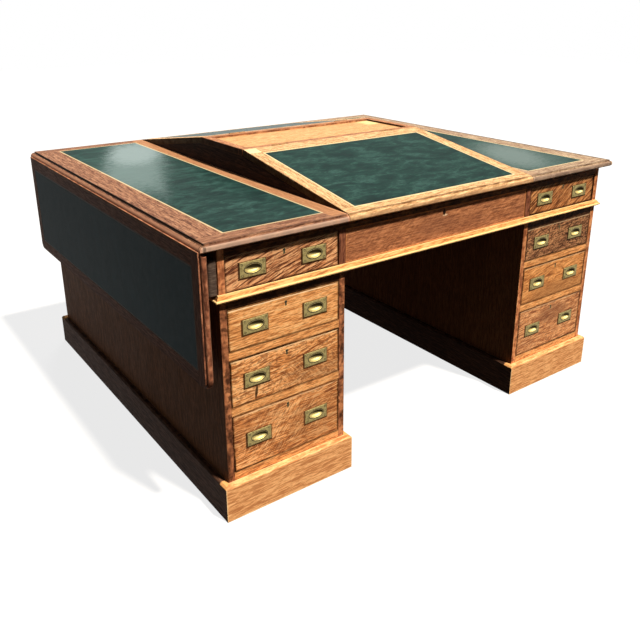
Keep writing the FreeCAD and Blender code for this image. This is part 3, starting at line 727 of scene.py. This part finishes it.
def made(name: str, shape: Shape, *finishes: Finish) -> bpy.types.Object:
    """Turns a bmesh into an object of the scene.

    Args:
        name: The piece's name.
        shape: Its mesh, which is freed.
        finishes: Its finishes.

    Returns:
        The new object.
    """
    bmesh.ops.recalc_face_normals(shape, faces=shape.faces)
    mesh = bpy.data.meshes.new(name)
    shape.to_mesh(mesh)
    shape.free()
    for finish in finishes:
        mesh.materials.append(finish.material())
    piece = bpy.data.objects.new(name, mesh)
    bpy.context.scene.collection.objects.link(piece)
    return piece


def lofted(shape: Shape, rings: list[list[Vector]], finish: int = 0, closed: bool = False) -> None:
    """Skins a row of rings of points with quads.

    Args:
        shape: The bmesh that takes the faces.
        rings: Rings with the same number of points.
        finish: The material number of the faces.
        closed: Whether the last ring is closed with one face.
    """
    rows = [[shape.verts.new(p) for p in ring] for ring in rings]
    faces = [shape.faces.new((first[i - 1], first[i], second[i], second[i - 1]))
             for first, second in zip(rows, rows[1:]) for i in [*range(1, len(first)), 0]]
    if closed:
        faces.append(shape.faces.new(rows[-1]))
    for face in faces:
        face.material_index = finish
        face.smooth = True


def joined(shape: Shape, own: Shape, turn: Matrix) -> None:
    """Moves a small bmesh to its place and adds it to another.

    Args:
        shape: The bmesh that takes it.
        own: The small bmesh, which is freed.
        turn: Where it goes.
    """
    own.transform(turn)
    scrap = bpy.data.meshes.new("scrap")
    own.to_mesh(scrap)
    own.free()
    shape.from_mesh(scrap)
    bpy.data.meshes.remove(scrap)


def on_face(place: Vector, facing: float) -> Matrix:
    """Finds the place of a fitting on a drawer's face, which looks along -Y if facing is 1, else along +Y."""
    return Matrix.Translation(place) @ Matrix.Rotation(0.0 if facing > 0 else math.pi, 4, "Z")


@dataclass
class FlushPull:
    """A campaign pull: a bevelled plate let into the drawer, an oval finger bowl and four screws."""

    length: float = 73.0
    height: float = 40.0
    thickness: float = 2.6
    proud: float = 1.5
    bevel: float = 1.2
    bowl_length: float = 45.0
    bowl_height: float = 22.0
    bowl_depth: float = 9.3
    bowl_turns: int = 9
    ring_reach: float = 3.4
    screw_radius: float = 2.5
    screw_slot: float = 0.16
    screw_rings: tuple[Pair, ...] = ((1.3, 0.06), (0.85, 0.12), (0.55, 0.26))
    screw_steps: int = 8
    screw_places: Pair = (30.5, 14.6)
    around: int = 48

    def outline(self) -> list[Pair]:
        """Walks round the plate.

        Returns:
            Points of the plate's edge as shares of its half length and half height, its corners among them.
        """
        quarter = self.around // 8
        walk = []
        for cx, cz, dx, dz in ((1, -1, 0, 1), (1, 1, -1, 0), (-1, 1, 0, -1), (-1, -1, 1, 0)):
            walk += [(cx + dx * i / quarter, cz + dz * i / quarter) for i in range(2 * quarter)]
        return walk

    def ring(self, half_x: float, half_z: float, out: float, oval: bool = False) -> list[Vector]:
        """Lays one ring of points.

        Args:
            half_x: Half its length in mm.
            half_z: Half its height in mm.
            out: How far it stands out of the drawer's face in mm.
            oval: Whether it is an oval and not the plate's rectangle.

        Returns:
            The ring's points in metres, with the face's outward side along -Y.
        """
        points = []
        for x, z in self.outline():
            if oval:
                angle = math.atan2(z, x)
                x, z = math.cos(angle), math.sin(angle)
            points.append(Vector((x * half_x, -out, z * half_z)) * MM)
        return points

    def build(self, shape: Shape, centre: Vector, facing: float) -> None:
        """Adds one pull.

        Args:
            shape: The bmesh that takes it.
            centre: The middle of the plate on the drawer's face, in metres.
            facing: 1 for a drawer at the front, -1 for one at the rear.
        """
        own = bmesh.new()
        hx, hz, out, reach = self.length / 2, self.height / 2, self.proud, self.ring_reach
        bx, bz = self.bowl_length / 2, self.bowl_height / 2
        sides = ((0.0, self.thickness), (0.0, self.bevel), (0.25, 0.3), (self.bevel, 0.0))
        plate = [self.ring(hx - inset, hz - inset, out - depth) for inset, depth in sides]
        lofted(own, plate + [self.ring(bx + reach, bz + reach, out, True)])
        # A groove runs round the bowl, black with dirt and painted shade, and inside it a rolled lip.
        dark_crease = ((reach, 0.0), (reach - 0.5, -0.4), (reach - 1.6, -0.4), (reach - 2.0, 0.0))
        lip = ((reach - 2.0, 0.0), (reach - 2.4, 0.25), (0.5, 0.1))
        for finish, steps in ((2, dark_crease), (0, lip)):
            lofted(own, [self.ring(bx + step, bz + step, out + lift, True) for step, lift in steps], finish)
        bowl = [self.ring(bx + 0.5, bz + 0.5, out + 0.1, True)]
        for i in range(self.bowl_turns):
            angle = math.pi / 2 * i / self.bowl_turns
            wide, deep = math.cos(angle), math.sin(angle)
            bowl.append(self.ring(bx * wide, bz * wide, out - 0.3 - self.bowl_depth * deep, True))
        lofted(own, bowl, 1, closed=True)
        for sx in BOTH_SIDES:
            for sz in BOTH_SIDES:
                self.screw(own, sx * self.screw_places[0], sz * self.screw_places[1], out)
        joined(shape, own, on_face(centre, facing))

    def screw(self, shape: Shape, x: float, z: float, out: float) -> None:
        """Adds one slotted, countersunk screw head, with a black ring round it of dirt and painted shade.

        Args:
            shape: The bmesh that takes it.
            x: Its place along the plate in mm.
            z: Its height on the plate in mm.
            out: How far the plate stands out in mm.
        """
        # Each slot stopped at an angle of its own.
        lean = math.radians((x * 37.0 + z * 53.0) % 180.0)
        slot = math.asin(self.screw_slot)
        sweep = math.pi - 2 * slot
        for side in (1, -1):
            angles = [slot + sweep * i / self.screw_steps for i in range(self.screw_steps + 1)]
            rings = []
            for size, lift in self.screw_rings:
                ring = []
                for angle in angles:
                    px = math.cos(angle) * side * size * self.screw_radius
                    pz = max(abs(math.sin(angle) * side) * size, self.screw_slot) * side * self.screw_radius
                    along = px * math.cos(lean) - pz * math.sin(lean)
                    above = px * math.sin(lean) + pz * math.cos(lean)
                    ring.append(Vector((x + along, -(out + lift), z + above)) * MM)
                rings.append(ring)
            lofted(shape, rings[:2], 2)
            lofted(shape, rings[1:], 0, closed=True)


@dataclass
class Lock:
    """A drawer lock: a brass case behind the front, and the keyhole's liner in the face."""

    case_x: float = 60.0
    case_y: float = 11.0
    case_z: float = 34.0
    case_drop: float = 3.2
    case_bevel: float = 0.8
    eye_radius: float = 3.4
    eye_drop: float = 10.0
    slot_half: float = 1.9
    slot_flare: float = 1.15
    rim: float = 0.9
    around: int = 14

    def keyhole(self, grow: float) -> list[Pair]:
        """Draws the keyhole.

        Args:
            grow: How much bigger than the hole, in mm.

        Returns:
            The outline from the middle of its eye, in mm.
        """
        radius = self.eye_radius + grow
        half = self.slot_half + grow
        start = math.asin(half / radius)
        sweep = 2 * math.pi - 2 * start
        walk = [start + sweep * i / self.around for i in range(self.around + 1)]
        points = [(math.sin(angle) * radius, -math.cos(angle) * radius) for angle in walk]
        foot = half * self.slot_flare
        return points + [(-foot, -self.eye_drop - grow), (foot, -self.eye_drop - grow)]

    def build(self, shape: Shape, face: Vector, facing: float) -> None:
        """Adds the keyhole's liner on the drawer's face, and its dark eye: a flat black face of painted
        shade.

        Args:
            shape: The bmesh that takes them.
            face: The middle of the eye on the face, in metres.
            facing: 1 for the front, -1 for the rear.
        """
        own = bmesh.new()
        rings = [[Vector((x, -out, z)) * MM for x, z in self.keyhole(grow)]
                 for grow, out in ((self.rim, -0.3), (self.rim * 0.8, 0.28), (0.15, 0.3), (0.0, 0.08))]
        lofted(own, rings)
        # Painted shade: the eye is a flat black face where the hole would be.
        eye = own.faces.new([own.verts.new(p) for p in rings[-1]])
        eye.material_index = 2
        joined(shape, own, on_face(face, facing))

    def build_case(self, shape: Shape, low: Vector, high: Vector) -> None:
        """Adds the bevelled case inside the drawer.

        Args:
            shape: The bmesh that takes it.
            low: The case's lowest corner, in metres.
            high: Its highest corner.
        """
        own = bmesh.new()
        box = Matrix.Translation((low + high) / 2) @ Matrix.Diagonal((*(high - low), 1.0))
        bmesh.ops.create_cube(own, size=1.0, matrix=box)
        bmesh.ops.bevel(own, geom=own.edges[:], offset=self.case_bevel * MM, segments=2, affect="EDGES")
        joined(shape, own, Matrix.Identity(4))


@dataclass
class Drawers:
    """The sixteen drawers with their fronts, boxes and brasses."""

    pull: FlushPull = field(default_factory=FlushPull)
    lock: Lock = field(default_factory=Lock)
    spacing: float = 184.0
    keyhole_drop: float = 17.5
    front_heights: tuple[float, ...] = (93.0, 112.0, 131.0, 165.0)

    def bank(self, rows: tuple, edge_mm: float) -> dict[int, WaxedOak]:
        """Finishes the fronts of one bank of drawers.

        Args:
            rows: For each drawer from the top, its oak's name, tones, strength of the painted highlight along
            the top edge, marks and other settings.
            edge_mm: How far the dark of the gaps, dirt and painted shade, reaches in from the edges.

        Returns:
            The oak of each front by its number.
        """
        # Dirt and a painted shadow lie dark round each plate, reaching further to the lower left, where the
        # plate's shadow falls.
        grime_and_shadow = tuple(Strip((side * self.spacing / 2 - 1.5, -1.8), (80.5, 46.5), "#1f1209", strength=0.9,
                            softness=0.03, ragged=0.04) for side in BOTH_SIDES)
        oaks = {}
        for number, (name, tones, top_highlight, marks, more) in enumerate(rows, 1):
            top_mm = self.front_heights[number - 1] / 2
            # A painted highlight runs along the top edge of each front.
            rubbed_and_painted_light = Strip((0.0, top_mm - 4.6), (329.0, 3.0), "#ffdfae", strength=top_highlight, softness=0.1,
                           ragged=0.3)
            # The dark edges of each front are dirt and the painted shade of the gaps round it.
            oaks[number] = WaxedOak(f"oak_front_{name}", tones, patches=(*grime_and_shadow, rubbed_and_painted_light, *marks),
                                    arris_colour="#150904", arris=1.1, arris_mm=edge_mm, **more)
        return oaks

    def fronts(self) -> dict[str, WaxedOak]:
        """Names the oak of each front. The rear banks have the same oaks in the other order.

        Returns:
            The oak for each drawer, by corner and number.
        """
        left = self.bank((
            ("feathered", ("#f8bd86", "#c98353", "#55301f"), 0.2, (),
             {"figure": Figure.FEATHER, "ray": 0.2, "ray_slant": -30.0, "fleck": 0.25, "smoke": 0.25,
              "smoke_colour": "#6e4233", "band_mm": 5.5}),
            ("golden", ("#ffc989", "#f4a863", "#a96a3a"), 0.9, (),
             {"ray": 0.15, "fleck": 0.15, "smoke": 0.1}),
            ("flecked", ("#ffc688", "#ee9f5c", "#884f2c"), 0.5,
             (Patch((105.0, -34.0), (190.0, 70.0), "#7a4c2e", strength=0.35, ragged=0.9),
              Patch((-96.0, -42.0), (8.0, 40.0), "#1c110b", strength=0.9, softness=0.3, ragged=0.3,
                    turn=-8.0)),
             {"figure": Figure.CLOUDED, "ray": 0.4, "ray_slant": 50.0, "ray_place_mm": (80.0, -26.0),
              "ray_reach_mm": (105.0, 45.0), "fleck": 0.6, "smoke": 0.15, "smoke_colour": "#6e3f28"}),
            ("rayed", ("#ffc486", "#ea9957", "#80482a"), 0.4,
             (Patch((95.0, -15.0), (180.0, 130.0), "#8a5a36", strength=0.3, ragged=0.9),),
             {"figure": Figure.PLAIN, "ray": 0.55, "ray_slant": -52.0, "ray_place_mm": (-10.0, 5.0),
              "ray_reach_mm": (150.0, 70.0), "fleck": 0.35, "smoke": 0.3, "smoke_colour": "#74452e"})), 4.4)
        right = self.bank((
            ("crossed", ("#dd9f65", "#b97441", "#55301d"), 0.1, (),
             {"figure": Figure.CROSSED, "ray": 0.2, "fleck": 0.2, "smoke": 0.15, "smoke_colour": "#6d3d2b",
              "band_mm": 7.0}),
            ("smoked", ("#d29867", "#a36c4a", "#4c2e20"), 0.35, (),
             {"figure": Figure.CLOUDED, "ray": 0.4, "fleck": 0.85, "smoke": 0.3, "smoke_colour": "#3a261c"}),
            ("shaded", ("#f6b26e", "#de9352", "#8e542f"), 0.35,
             (Patch((40.0, -48.0), (330.0, 60.0), "#9a6a42", strength=0.5),),
             {"figure": Figure.CLOUDED, "ray": 0.2, "fleck": 0.25, "smoke": 0.25, "smoke_colour": "#93613e"}),
            ("brown", ("#ffc48a", "#ea9f64", "#864f34"), 0.3,
             (Patch((10.0, 35.0), (170.0, 60.0), "#7d4f38", strength=0.6),),
             {"figure": Figure.PLAIN, "ray": 0.3, "fleck": 0.35, "smoke": 0.3,
              "smoke_colour": "#88573e"})), 6.0)
        named = {}
        for number in range(1, 5):
            named[f"front_left_{number}"] = left[number]
            named[f"front_right_{number}"] = right[number]
            named[f"rear_right_{number}"] = left[5 - number]
            named[f"rear_left_{number}"] = right[5 - number]
        return named

    def build(self) -> None:
        """Dresses every drawer and makes its brasses."""
        box_oak = WaxedOak("oak_drawer_box_sanded", ("#cfa069", "#b5834d", "#8b5b31"), Figure.PLAIN, ray=0.3,
                           fleck=0.1, smoke=0.15, arris=0.15, roughness=0.6)
        plate = AgedBrass("brass_cast_olive", "#9c8d5c", "#7b6b43", roughness=0.55)
        rubbed_and_painted_light = AgedBrass("brass_cast_worn_with_painted_shade", "#cab778", "#ae9b5f", "#1a130a", tarnish=0.15, roughness=0.56,
                           shade_painted_in_bowl=True)
        for place, oak in self.fronts().items():
            Timber(f"drawer_{place}").dress(oak, box_oak, pick=(0, 1))
            self.brasses(place, (plate, rubbed_and_painted_light, BlackShadeAndDirt()))

    def brasses(self, place: str, finishes: tuple[Finish, ...]) -> None:
        """Makes one drawer's pulls, lock and keyhole.

        Args:
            place: The drawer's corner and number.
            finishes: Dull brass, rubbed brass with painted shade in its bowls, and black for dirt and painted
                shade.
        """
        low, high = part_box(f"drawer_{place}")
        facing = 1.0 if place.startswith("front") else -1.0
        middle = Vector(((low.x + high.x) / 2, low.y if facing > 0 else high.y, (low.z + high.z) / 2))
        shape = bmesh.new()
        for side in BOTH_SIDES:
            self.pull.build(shape, middle + Vector((side * self.spacing / 2 * MM, 0.0, 0.0)), facing)
        self.lock.build(shape, Vector((middle.x, middle.y, high.z - self.keyhole_drop * MM)), facing)
        node_low, node_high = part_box(f"brass_{place}")
        deep = self.lock.case_y * MM
        case_y = (node_high.y - deep, node_high.y) if facing > 0 else (node_low.y, node_low.y + deep)
        top = high.z - self.lock.case_drop * MM
        half = self.lock.case_x / 2 * MM
        self.lock.build_case(shape, Vector((middle.x - half, case_y[0], top - self.lock.case_z * MM)),
                             Vector((middle.x + half, case_y[1], top)))
        corner, number = place.rsplit("_", 1)
        piece = made(f"pulls_{place}", shape, *finishes)
        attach(piece, f"{corner}_drawer_{number}")
        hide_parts(f"brass_{place}")


@dataclass
class Carcase:
    """The fixed timber: pedestals, plinths, frieze, mouldings and the boards inside."""

    # The painted shade on the side boards' faces that look to the desk's sides.
    sideways_shade: str = "#5a3d27"

    def build(self) -> None:
        """Dresses every fixed board."""
        # Sides and stiles share one finish in three colours, with painted shade on their faces that look to
        # the desk's sides and dark edges of dirt and painted gap shade.
        edges = {"ray": 0.15, "fleck": 0.3, "smoke": 0.35, "sideways_shade": self.sideways_shade, "arris_colour": "#2a160c",
                 "arris": 0.4, "arris_mm": 2.5, "specular": 0.012}
        reddish, amber, russet = (
            WaxedOak(f"oak_{name}", tones, smoke_colour=smoke, **edges) for name, tones, smoke in (
                ("side_reddish", ("#d18a5b", "#aa6a47", "#4d2e1f"), "#3c241a"),
                ("side_amber", ("#f0aa74", "#d88b59", "#8c5236"), "#7a4a2c"),
                ("stile_russet", ("#a5694a", "#854f38", "#4d2c20"), "#54342a")))
        # Dark edges by the drawers: dirt and the painted shade of the gaps.
        golden = WaxedOak("oak_rail_golden", ("#ffc07e", "#f6a864", "#a76a3c"), ray=0.15, smoke=0.2,
                          arris_colour="#1c0d06", arris=0.9, arris_mm=3.0)
        # The top rails lie under the moulding: painted shade makes them near black, and a painted highlight
        # runs along a lit line near their foot.
        rail_in_painted_shade = WaxedOak("oak_rail_painted_shade", ("#6b462c", "#472c1a", "#21130b"), ray=0.1, smoke=0.3,
                         smoke_colour="#24160d", arris_colour="#120905", arris=0.9, arris_mm=3.0,
                         patches=(Strip((0.0, -3.0), (345.0, 2.6), "#c9976a", strength=0.6, softness=0.2,
                                        ragged=0.2),))
        dark = WaxedOak("oak_rail_dark", ("#7d5130", "#573621", "#2a1810"), ray=0.1, fleck=0.1, smoke=0.3,
                        smoke_colour="#2e1a12", arris_colour="#8f6038", arris=0.2)
        # The pale edges of the front boards are a painted highlight, and their ends that look to the sides
        # get painted shade.
        plinth = WaxedOak("oak_plinth_pale", ("#f5bb80", "#e6a56b", "#bb7b4b"), Figure.BOLD, ray=0.15,
                          fleck=0.1, smoke=0.1, smoke_colour="#a56b3e", sideways_shade="#4a3224",
                          arris_colour="#ffdfa6", arris=0.65)
        # The side boards are painted dark as in shade, with a painted highlight at both ends along the top,
        # where light reaches past the corners.
        painted_lit_ends = tuple(Strip((end * 668.0, 53.0), (38.0, 13.0), "#e9a968", strength=0.9, softness=0.15,
                                ragged=0.1) for end in BOTH_SIDES)
        shaded = WaxedOak("oak_plinth_dark", ("#6b4a38", "#4f3527", "#2c1d17"), ray=0.1, fleck=0.1, smoke=0.2,
                          smoke_colour="#3c2a22", arris_colour="#b39a8a", arris=0.5, arris_mm=3.0,
                          specular=0.015, patches=painted_lit_ends)
        # A darker cloud, and in the middle a small pale spot with a black notch above it: painted shade for
        # the notch of the lid's lock.
        panel = WaxedOak("oak_panel_mottled", ("#cf8c5e", "#b07048", "#774830"), ray=0.3, fleck=0.3,
                         smoke=0.35, smoke_colour="#80503a", arris_colour="#e0924e", arris=0.7, arris_mm=5.0,
                         patches=(Patch((-30.0, 0.0), (150.0, 55.0), "#80503a", strength=0.45, ragged=0.9),
                                  Patch((3.0, 23.0), (18.0, 6.0), "#edcba2", softness=0.3),
                                  Patch((-1.0, 32.0), (13.0, 18.0), "#0c0604", strength=0.97, softness=0.1)))
        # A painted highlight brightens the nose and its edges, and painted shade darkens the runs along the
        # sides.
        moulding = WaxedOak("oak_moulding_nose_lit", ("#f6b274", "#e19957", "#a1683a"), ray=0.1, fleck=0.05,
                            smoke=0.15, sideways_shade="#22150e", arris_colour="#f3cb8b", arris=0.2,
                            wear_and_edge_light=(WearAndEdgeLight(2, 4.5, "#fbd592", 0.8),))
        # Painted shade darkens the brackets' faces that look to the sides.
        bracket = WaxedOak("oak_bracket_grey", ("#6a5a4c", "#594a3f", "#463932"), ray=0.1, smoke=0.3,
                           smoke_colour="#54443c", sideways_shade="#30221c")
        upright, longest = Grain.UPRIGHT_Z, Grain.LONGEST
        for node, grain, finishes, pick in (
                ("pedestal_sides", upright, (reddish, amber), (0, 0, 1, 1)),
                ("pedestal_rails", longest, (golden, rail_in_painted_shade), (0, 0, 0, 1) * 4),
                ("plinths", longest, (plinth, shaded), (0, 0, 1, 1) * 2),
                ("frieze_sides", upright, (amber,), ()),
                ("frieze_rails", longest, (dark, russet), (0, 0, 1, 1, 0, 0, 0, 1, 1, 0)),
                ("frieze_panels", longest, (panel,), ()), ("base_moulding", longest, (moulding,), ()),
                ("bracket_blocks", longest, (bracket,), ()), ("bracket_front", longest, (bracket,), ()),
                ("bracket_rear", longest, (bracket,), ())):
            Timber(node, grain).dress(*finishes, pick=pick)
        for node in ("pedestal_boards", "drawer_runners", "well_boards"):
            Timber(node, centred=False).dress(BarePine())


@dataclass
class DeskTop:
    """The flat side sections of the top, with their sunk leathers."""

    field_half: Pair = (630.0, 150.0)
    joint_place: float = 675.0
    border_place: float = 193.0
    crease_inset: float = 12.0

    def build(self) -> None:
        """Dresses the two sections and their linings."""
        for node, side, tones, ends, sides, border in (
                ("top_left", -1.0, ("#b08464", "#8d624a", "#50342a"), "#c8a892", "#dda07e", "#c08a5e"),
                ("top_right", 1.0, ("#c3ab8e", "#a68d71", "#695040"), "#8f7768", "#bd9c80", "#b79678")):
            low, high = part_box(node)
            dark_crease = side * ((high.x - low.x) / 2 / MM - self.crease_inset)
            # The ends and sides are rubbed and carry painted edge light; the strip along the inner border is
            # a painted highlight, the dark line near the outer edge is painted shade of the step there, and
            # faces that look to the sides get painted shade.
            oak = WaxedOak(
                f"oak_{node}_border", tones, ray=0.15, fleck=0.35, smoke_colour="#6a4635",
                arris_colour="#3a231a", arris=0.6, sideways_shade="#24160f",
                wear_and_edge_light=(WearAndEdgeLight(0, 3.6, ends, 0.65), WearAndEdgeLight(1, 7.0, sides, 0.6)),
                patches=(Strip((0.0, -side * self.border_place), (1344.0, 46.0), border, strength=0.5,
                               softness=0.02),
                         *(Strip((end * self.joint_place, 0.0), (3.5, 460.0), "#2a170e")
                           for end in BOTH_SIDES),
                         Strip((0.0, dark_crease), (1345.0, 7.0), "#120a06", strength=0.95, softness=0.1,
                               ragged=0.1)),
                field_half_mm=self.field_half)
            Timber(node, Grain.DEPTH_Y).dress(oak)
        # Pale patches on both hides are painted reflections: the sheen of bright surroundings laid into their
        # colour.
        left = SkiverLeather("leather_skiver_green_left", edge_highlight_strength=0.7, patches=(
            Patch((280.0, -15.0), (1000.0, 330.0), "#455d57", strength=0.15, softness=0.5, ragged=0.7,
                  turn=24.4),
            Strip((250.0, -10.0), (800.0, 185.0), "#6c7f7e", strength=0.7, ragged=0.8, turn=24.4),
            Patch((430.0, 65.0), (400.0, 170.0), "#8a9a9c", strength=0.6, ragged=0.9, turn=24.4)))
        right = SkiverLeather("leather_skiver_green_right", patches=(
            Patch((-435.0, 10.0), (560.0, 300.0), "#4f615c", strength=0.65, softness=0.5, ragged=0.8,
                  turn=30.0),
            Patch((-420.0, 20.0), (380.0, 160.0), "#6c7b79", strength=0.6, softness=0.5, ragged=0.8,
                  turn=30.0)))
        Timber("top_leathers", Grain.DEPTH_Y).dress(left, right, pick=(0, 1))


@dataclass
class WritingSlope:
    """The two hinged lids, the raised frame that they meet at, and the pen tray between them."""

    rise: float = 86.0
    run: float = 541.0
    field_half: Pair = (232.0, 325.0)
    crease_place: float = 267.0

    def build(self) -> None:
        """Dresses lids, linings, frame and hinges."""
        tilt = math.atan2(self.rise, self.run)
        brass = AgedBrass("brass_hinge_dull", "#a07a52", "#80603e", tarnish=0.7)
        let_in = Strip((253.5, -345.5, 20.0), (39.0, 42.0, 36.0), "#ecd0a0", strength=0.85, softness=0.06)
        plain = SkiverLeather("leather_skiver_green_lid")
        waxed = SkiverLeather("leather_skiver_green_waxed", roughness=0.42, specular=0.5)
        for end, lean, repairs, hide in (("front", -tilt, (let_in,), plain), ("rear", tilt, (), waxed)):
            # A dark line by the nose is painted shade of its crease, the lid's faces that look to the sides
            # are painted near black as in shade, and its nose carries rubbing and painted edge light.
            dark_crease = Strip((math.copysign(self.crease_place, lean), 0.0), (3.5, 760.0), "#39220f")
            oak = WaxedOak(f"oak_lid_{end}_frame", ("#f2cb9a", "#d4aa78", "#98704a"), ray=0.15, fleck=0.25,
                           smoke=0.2, smoke_colour="#8d5c3c", arris_colour="#6a3f24", arris=0.4,
                           sideways_shade="#1d120c", sideways_shade_share=0.92, patches=(dark_crease, *repairs),
                           wear_and_edge_light=(WearAndEdgeLight(0, 3.0, "#c79a70", 0.5),), field_half_mm=self.field_half)
            Timber(f"lid_{end}", Grain.DEPTH_Y, lean).dress(oak)
            Timber(f"lid_{end}_leather", Grain.DEPTH_Y, lean).dress(hide)
            dress(f"lid_{end}_flaps", brass)
        dress("lid_hardware", brass)
        # The cheeks are painted near black, as in shade, and the ridge's faces that look to the sides get
        # painted shade.
        cheek = WaxedOak("oak_cheek_dark", ("#3c241a", "#2a1812", "#160c09"), ray=0.2, smoke=0.3,
                         smoke_colour="#1b100c", arris_colour="#5d3b26", arris=0.25)
        ridge = WaxedOak("oak_ridge_rail", ("#d59a6c", "#ae7550", "#774a32"), ray=0.1, smoke=0.2,
                         arris_colour="#6d442d", arris=0.5, sideways_shade="#1d120c", sideways_shade_share=0.92)
        tray = WaxedOak("oak_tray_yellow", ("#dfb381", "#cb9b65", "#a4734a"), ray=0.2, fleck=0.05, smoke=0.15,
                        smoke_colour="#b98048", arris=0.2,
                        patches=(Strip((330.0, 80.0), (90.0, 90.0), "#f3d394", ragged=0.5),))
        Timber("ridge_frame").dress(cheek, ridge, tray, pick=(0, 1, 0, 1, 1, 1, 2))


@dataclass
class SideLeaf:
    """The hanging leaf on its rule joint, with its leather and table hinges."""

    field_half: Pair = (644.0, 138.0)

    def build(self) -> None:
        """Dresses leaf, lining and hinges."""
        # Painted shade darkens the leaf's faces that look to the sides, and its pale edges are a painted
        # highlight.
        oak = WaxedOak("oak_leaf_dark", ("#cd8d68", "#a8694b", "#5e3828"), ray=0.1, fleck=0.3, smoke=0.35,
                       smoke_colour="#54342a", arris_colour="#dba07c", arris=0.5, sideways_shade="#3f2d26",
                       specular=0.012, field_half_mm=self.field_half)
        Timber("leaf", Grain.DEPTH_Y).dress(oak)
        # The leaf's hide is painted darker and cooler than the top's, as in shade.
        hide = SkiverLeather("leather_skiver_green_leaf", ("#0c1617", "#121d1f", "#1b292c"), border="#6a6058",
                             edge_highlight_strength=0.6, clouding=0.5, roughness=0.6, specular=0.05)
        Timber("leaf_leather", Grain.DEPTH_Y).dress(hide)
        steel = AgedBrass("steel_hinge_rusted", "#5c5145", "#352c24", "#1d140e", tarnish=0.6)
        for node in ("leaf_flaps", "leaf_hinges"):
            dress(node, steel)


@dataclass
class Studio:
    """Floor, world, lamps and camera."""

    camera_place: tuple[float, float, float] = (-1475.1, -2090.4, 1294.0)
    heading: float = 0.62871
    dip: float = 0.34083
    roll: float = -0.00253
    focal_px: float = 717.58
    centre_px: Pair = (322.31, 258.61)
    frame_px: float = 640.0
    sensor_mm: float = 36.0
    floor_half: float = 14.0
    room_light: float = 0.065

    def camera(self) -> None:
        """Sets up the camera."""
        level = math.cos(self.dip)
        ahead = Vector((math.sin(self.heading) * level, math.cos(self.heading) * level, -math.sin(self.dip)))
        right = Vector((math.cos(self.heading), -math.sin(self.heading), 0.0))
        up = right.cross(ahead)
        level_right = math.cos(self.roll) * right + math.sin(self.roll) * up
        level_up = -math.sin(self.roll) * right + math.cos(self.roll) * up
        data = bpy.data.cameras.new("camera")
        data.sensor_width = self.sensor_mm
        data.lens = self.sensor_mm * self.focal_px / self.frame_px
        data.shift_x = (self.frame_px / 2 - self.centre_px[0]) / self.frame_px
        data.shift_y = (self.centre_px[1] - self.frame_px / 2) / self.frame_px
        data.clip_end = 60.0
        camera = bpy.data.objects.new("camera", data)
        axes = Matrix((level_right, level_up, -ahead)).transposed().to_4x4()
        camera.matrix_world = Matrix.Translation(Vector(self.camera_place) * MM) @ axes
        bpy.context.scene.collection.objects.link(camera)
        bpy.context.scene.camera = camera

    def floor(self) -> None:
        """Lays the floor."""
        shape = bmesh.new()
        bmesh.ops.create_grid(shape, x_segments=2, y_segments=2, size=self.floor_half)
        ground = made("floor", shape, PaleFloor())

    def lights(self) -> None:
        """Hangs the key lamp high in front of the desk and a soft fill behind it, and lights the room."""
        for name, energy, width, tint, towards in (("key", 6.5, 3.0, "#fff6ea", (0.14, -0.456, 0.86)),
                                                   ("fill", 1.6, 25.0, "#ffffff", (0.55, 0.78, 0.3))):
            data = bpy.data.lights.new(name, "SUN")
            data.energy = energy
            data.angle = math.radians(width)
            data.color = linear(tint)[:3]
            lamp = bpy.data.objects.new(name, data)
            lamp.rotation_mode = "QUATERNION"
            lamp.rotation_quaternion = Vector(towards).to_track_quat("Z", "Y")
            # Wax shows one clear highlight, so the fill isn't seen in it.
            lamp.visible_glossy = name == "key"
            bpy.context.scene.collection.objects.link(lamp)
        world = bpy.data.worlds.new("room")
        bpy.context.scene.world = world
        world.use_nodes = True
        tree = world.node_tree
        tree.nodes.clear()
        level = add(tree, STEP, seen(tree), 0.0, 1.0, self.room_light, 1.0)
        sky = add(tree, "ShaderNodeBackground", (1.0, 1.0, 1.0, 1.0), level)
        add(tree, "ShaderNodeOutputWorld", sky)

    def build(self) -> None:
        """Sets up the whole studio."""
        self.camera()
        self.floor()
        self.lights()
        bpy.context.scene.view_settings.view_transform = "Standard"


def main() -> None:
    """Builds the desk's looks piece by piece."""
    logging.basicConfig(level=logging.INFO, format="%(name)s: %(message)s")
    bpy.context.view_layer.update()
    for part in (Studio(), Carcase(), Drawers(), DeskTop(), WritingSlope(), SideLeaf()):
        part.build()
        log.info("built %s", type(part).__name__)


if __name__ == "__main__":
    main()
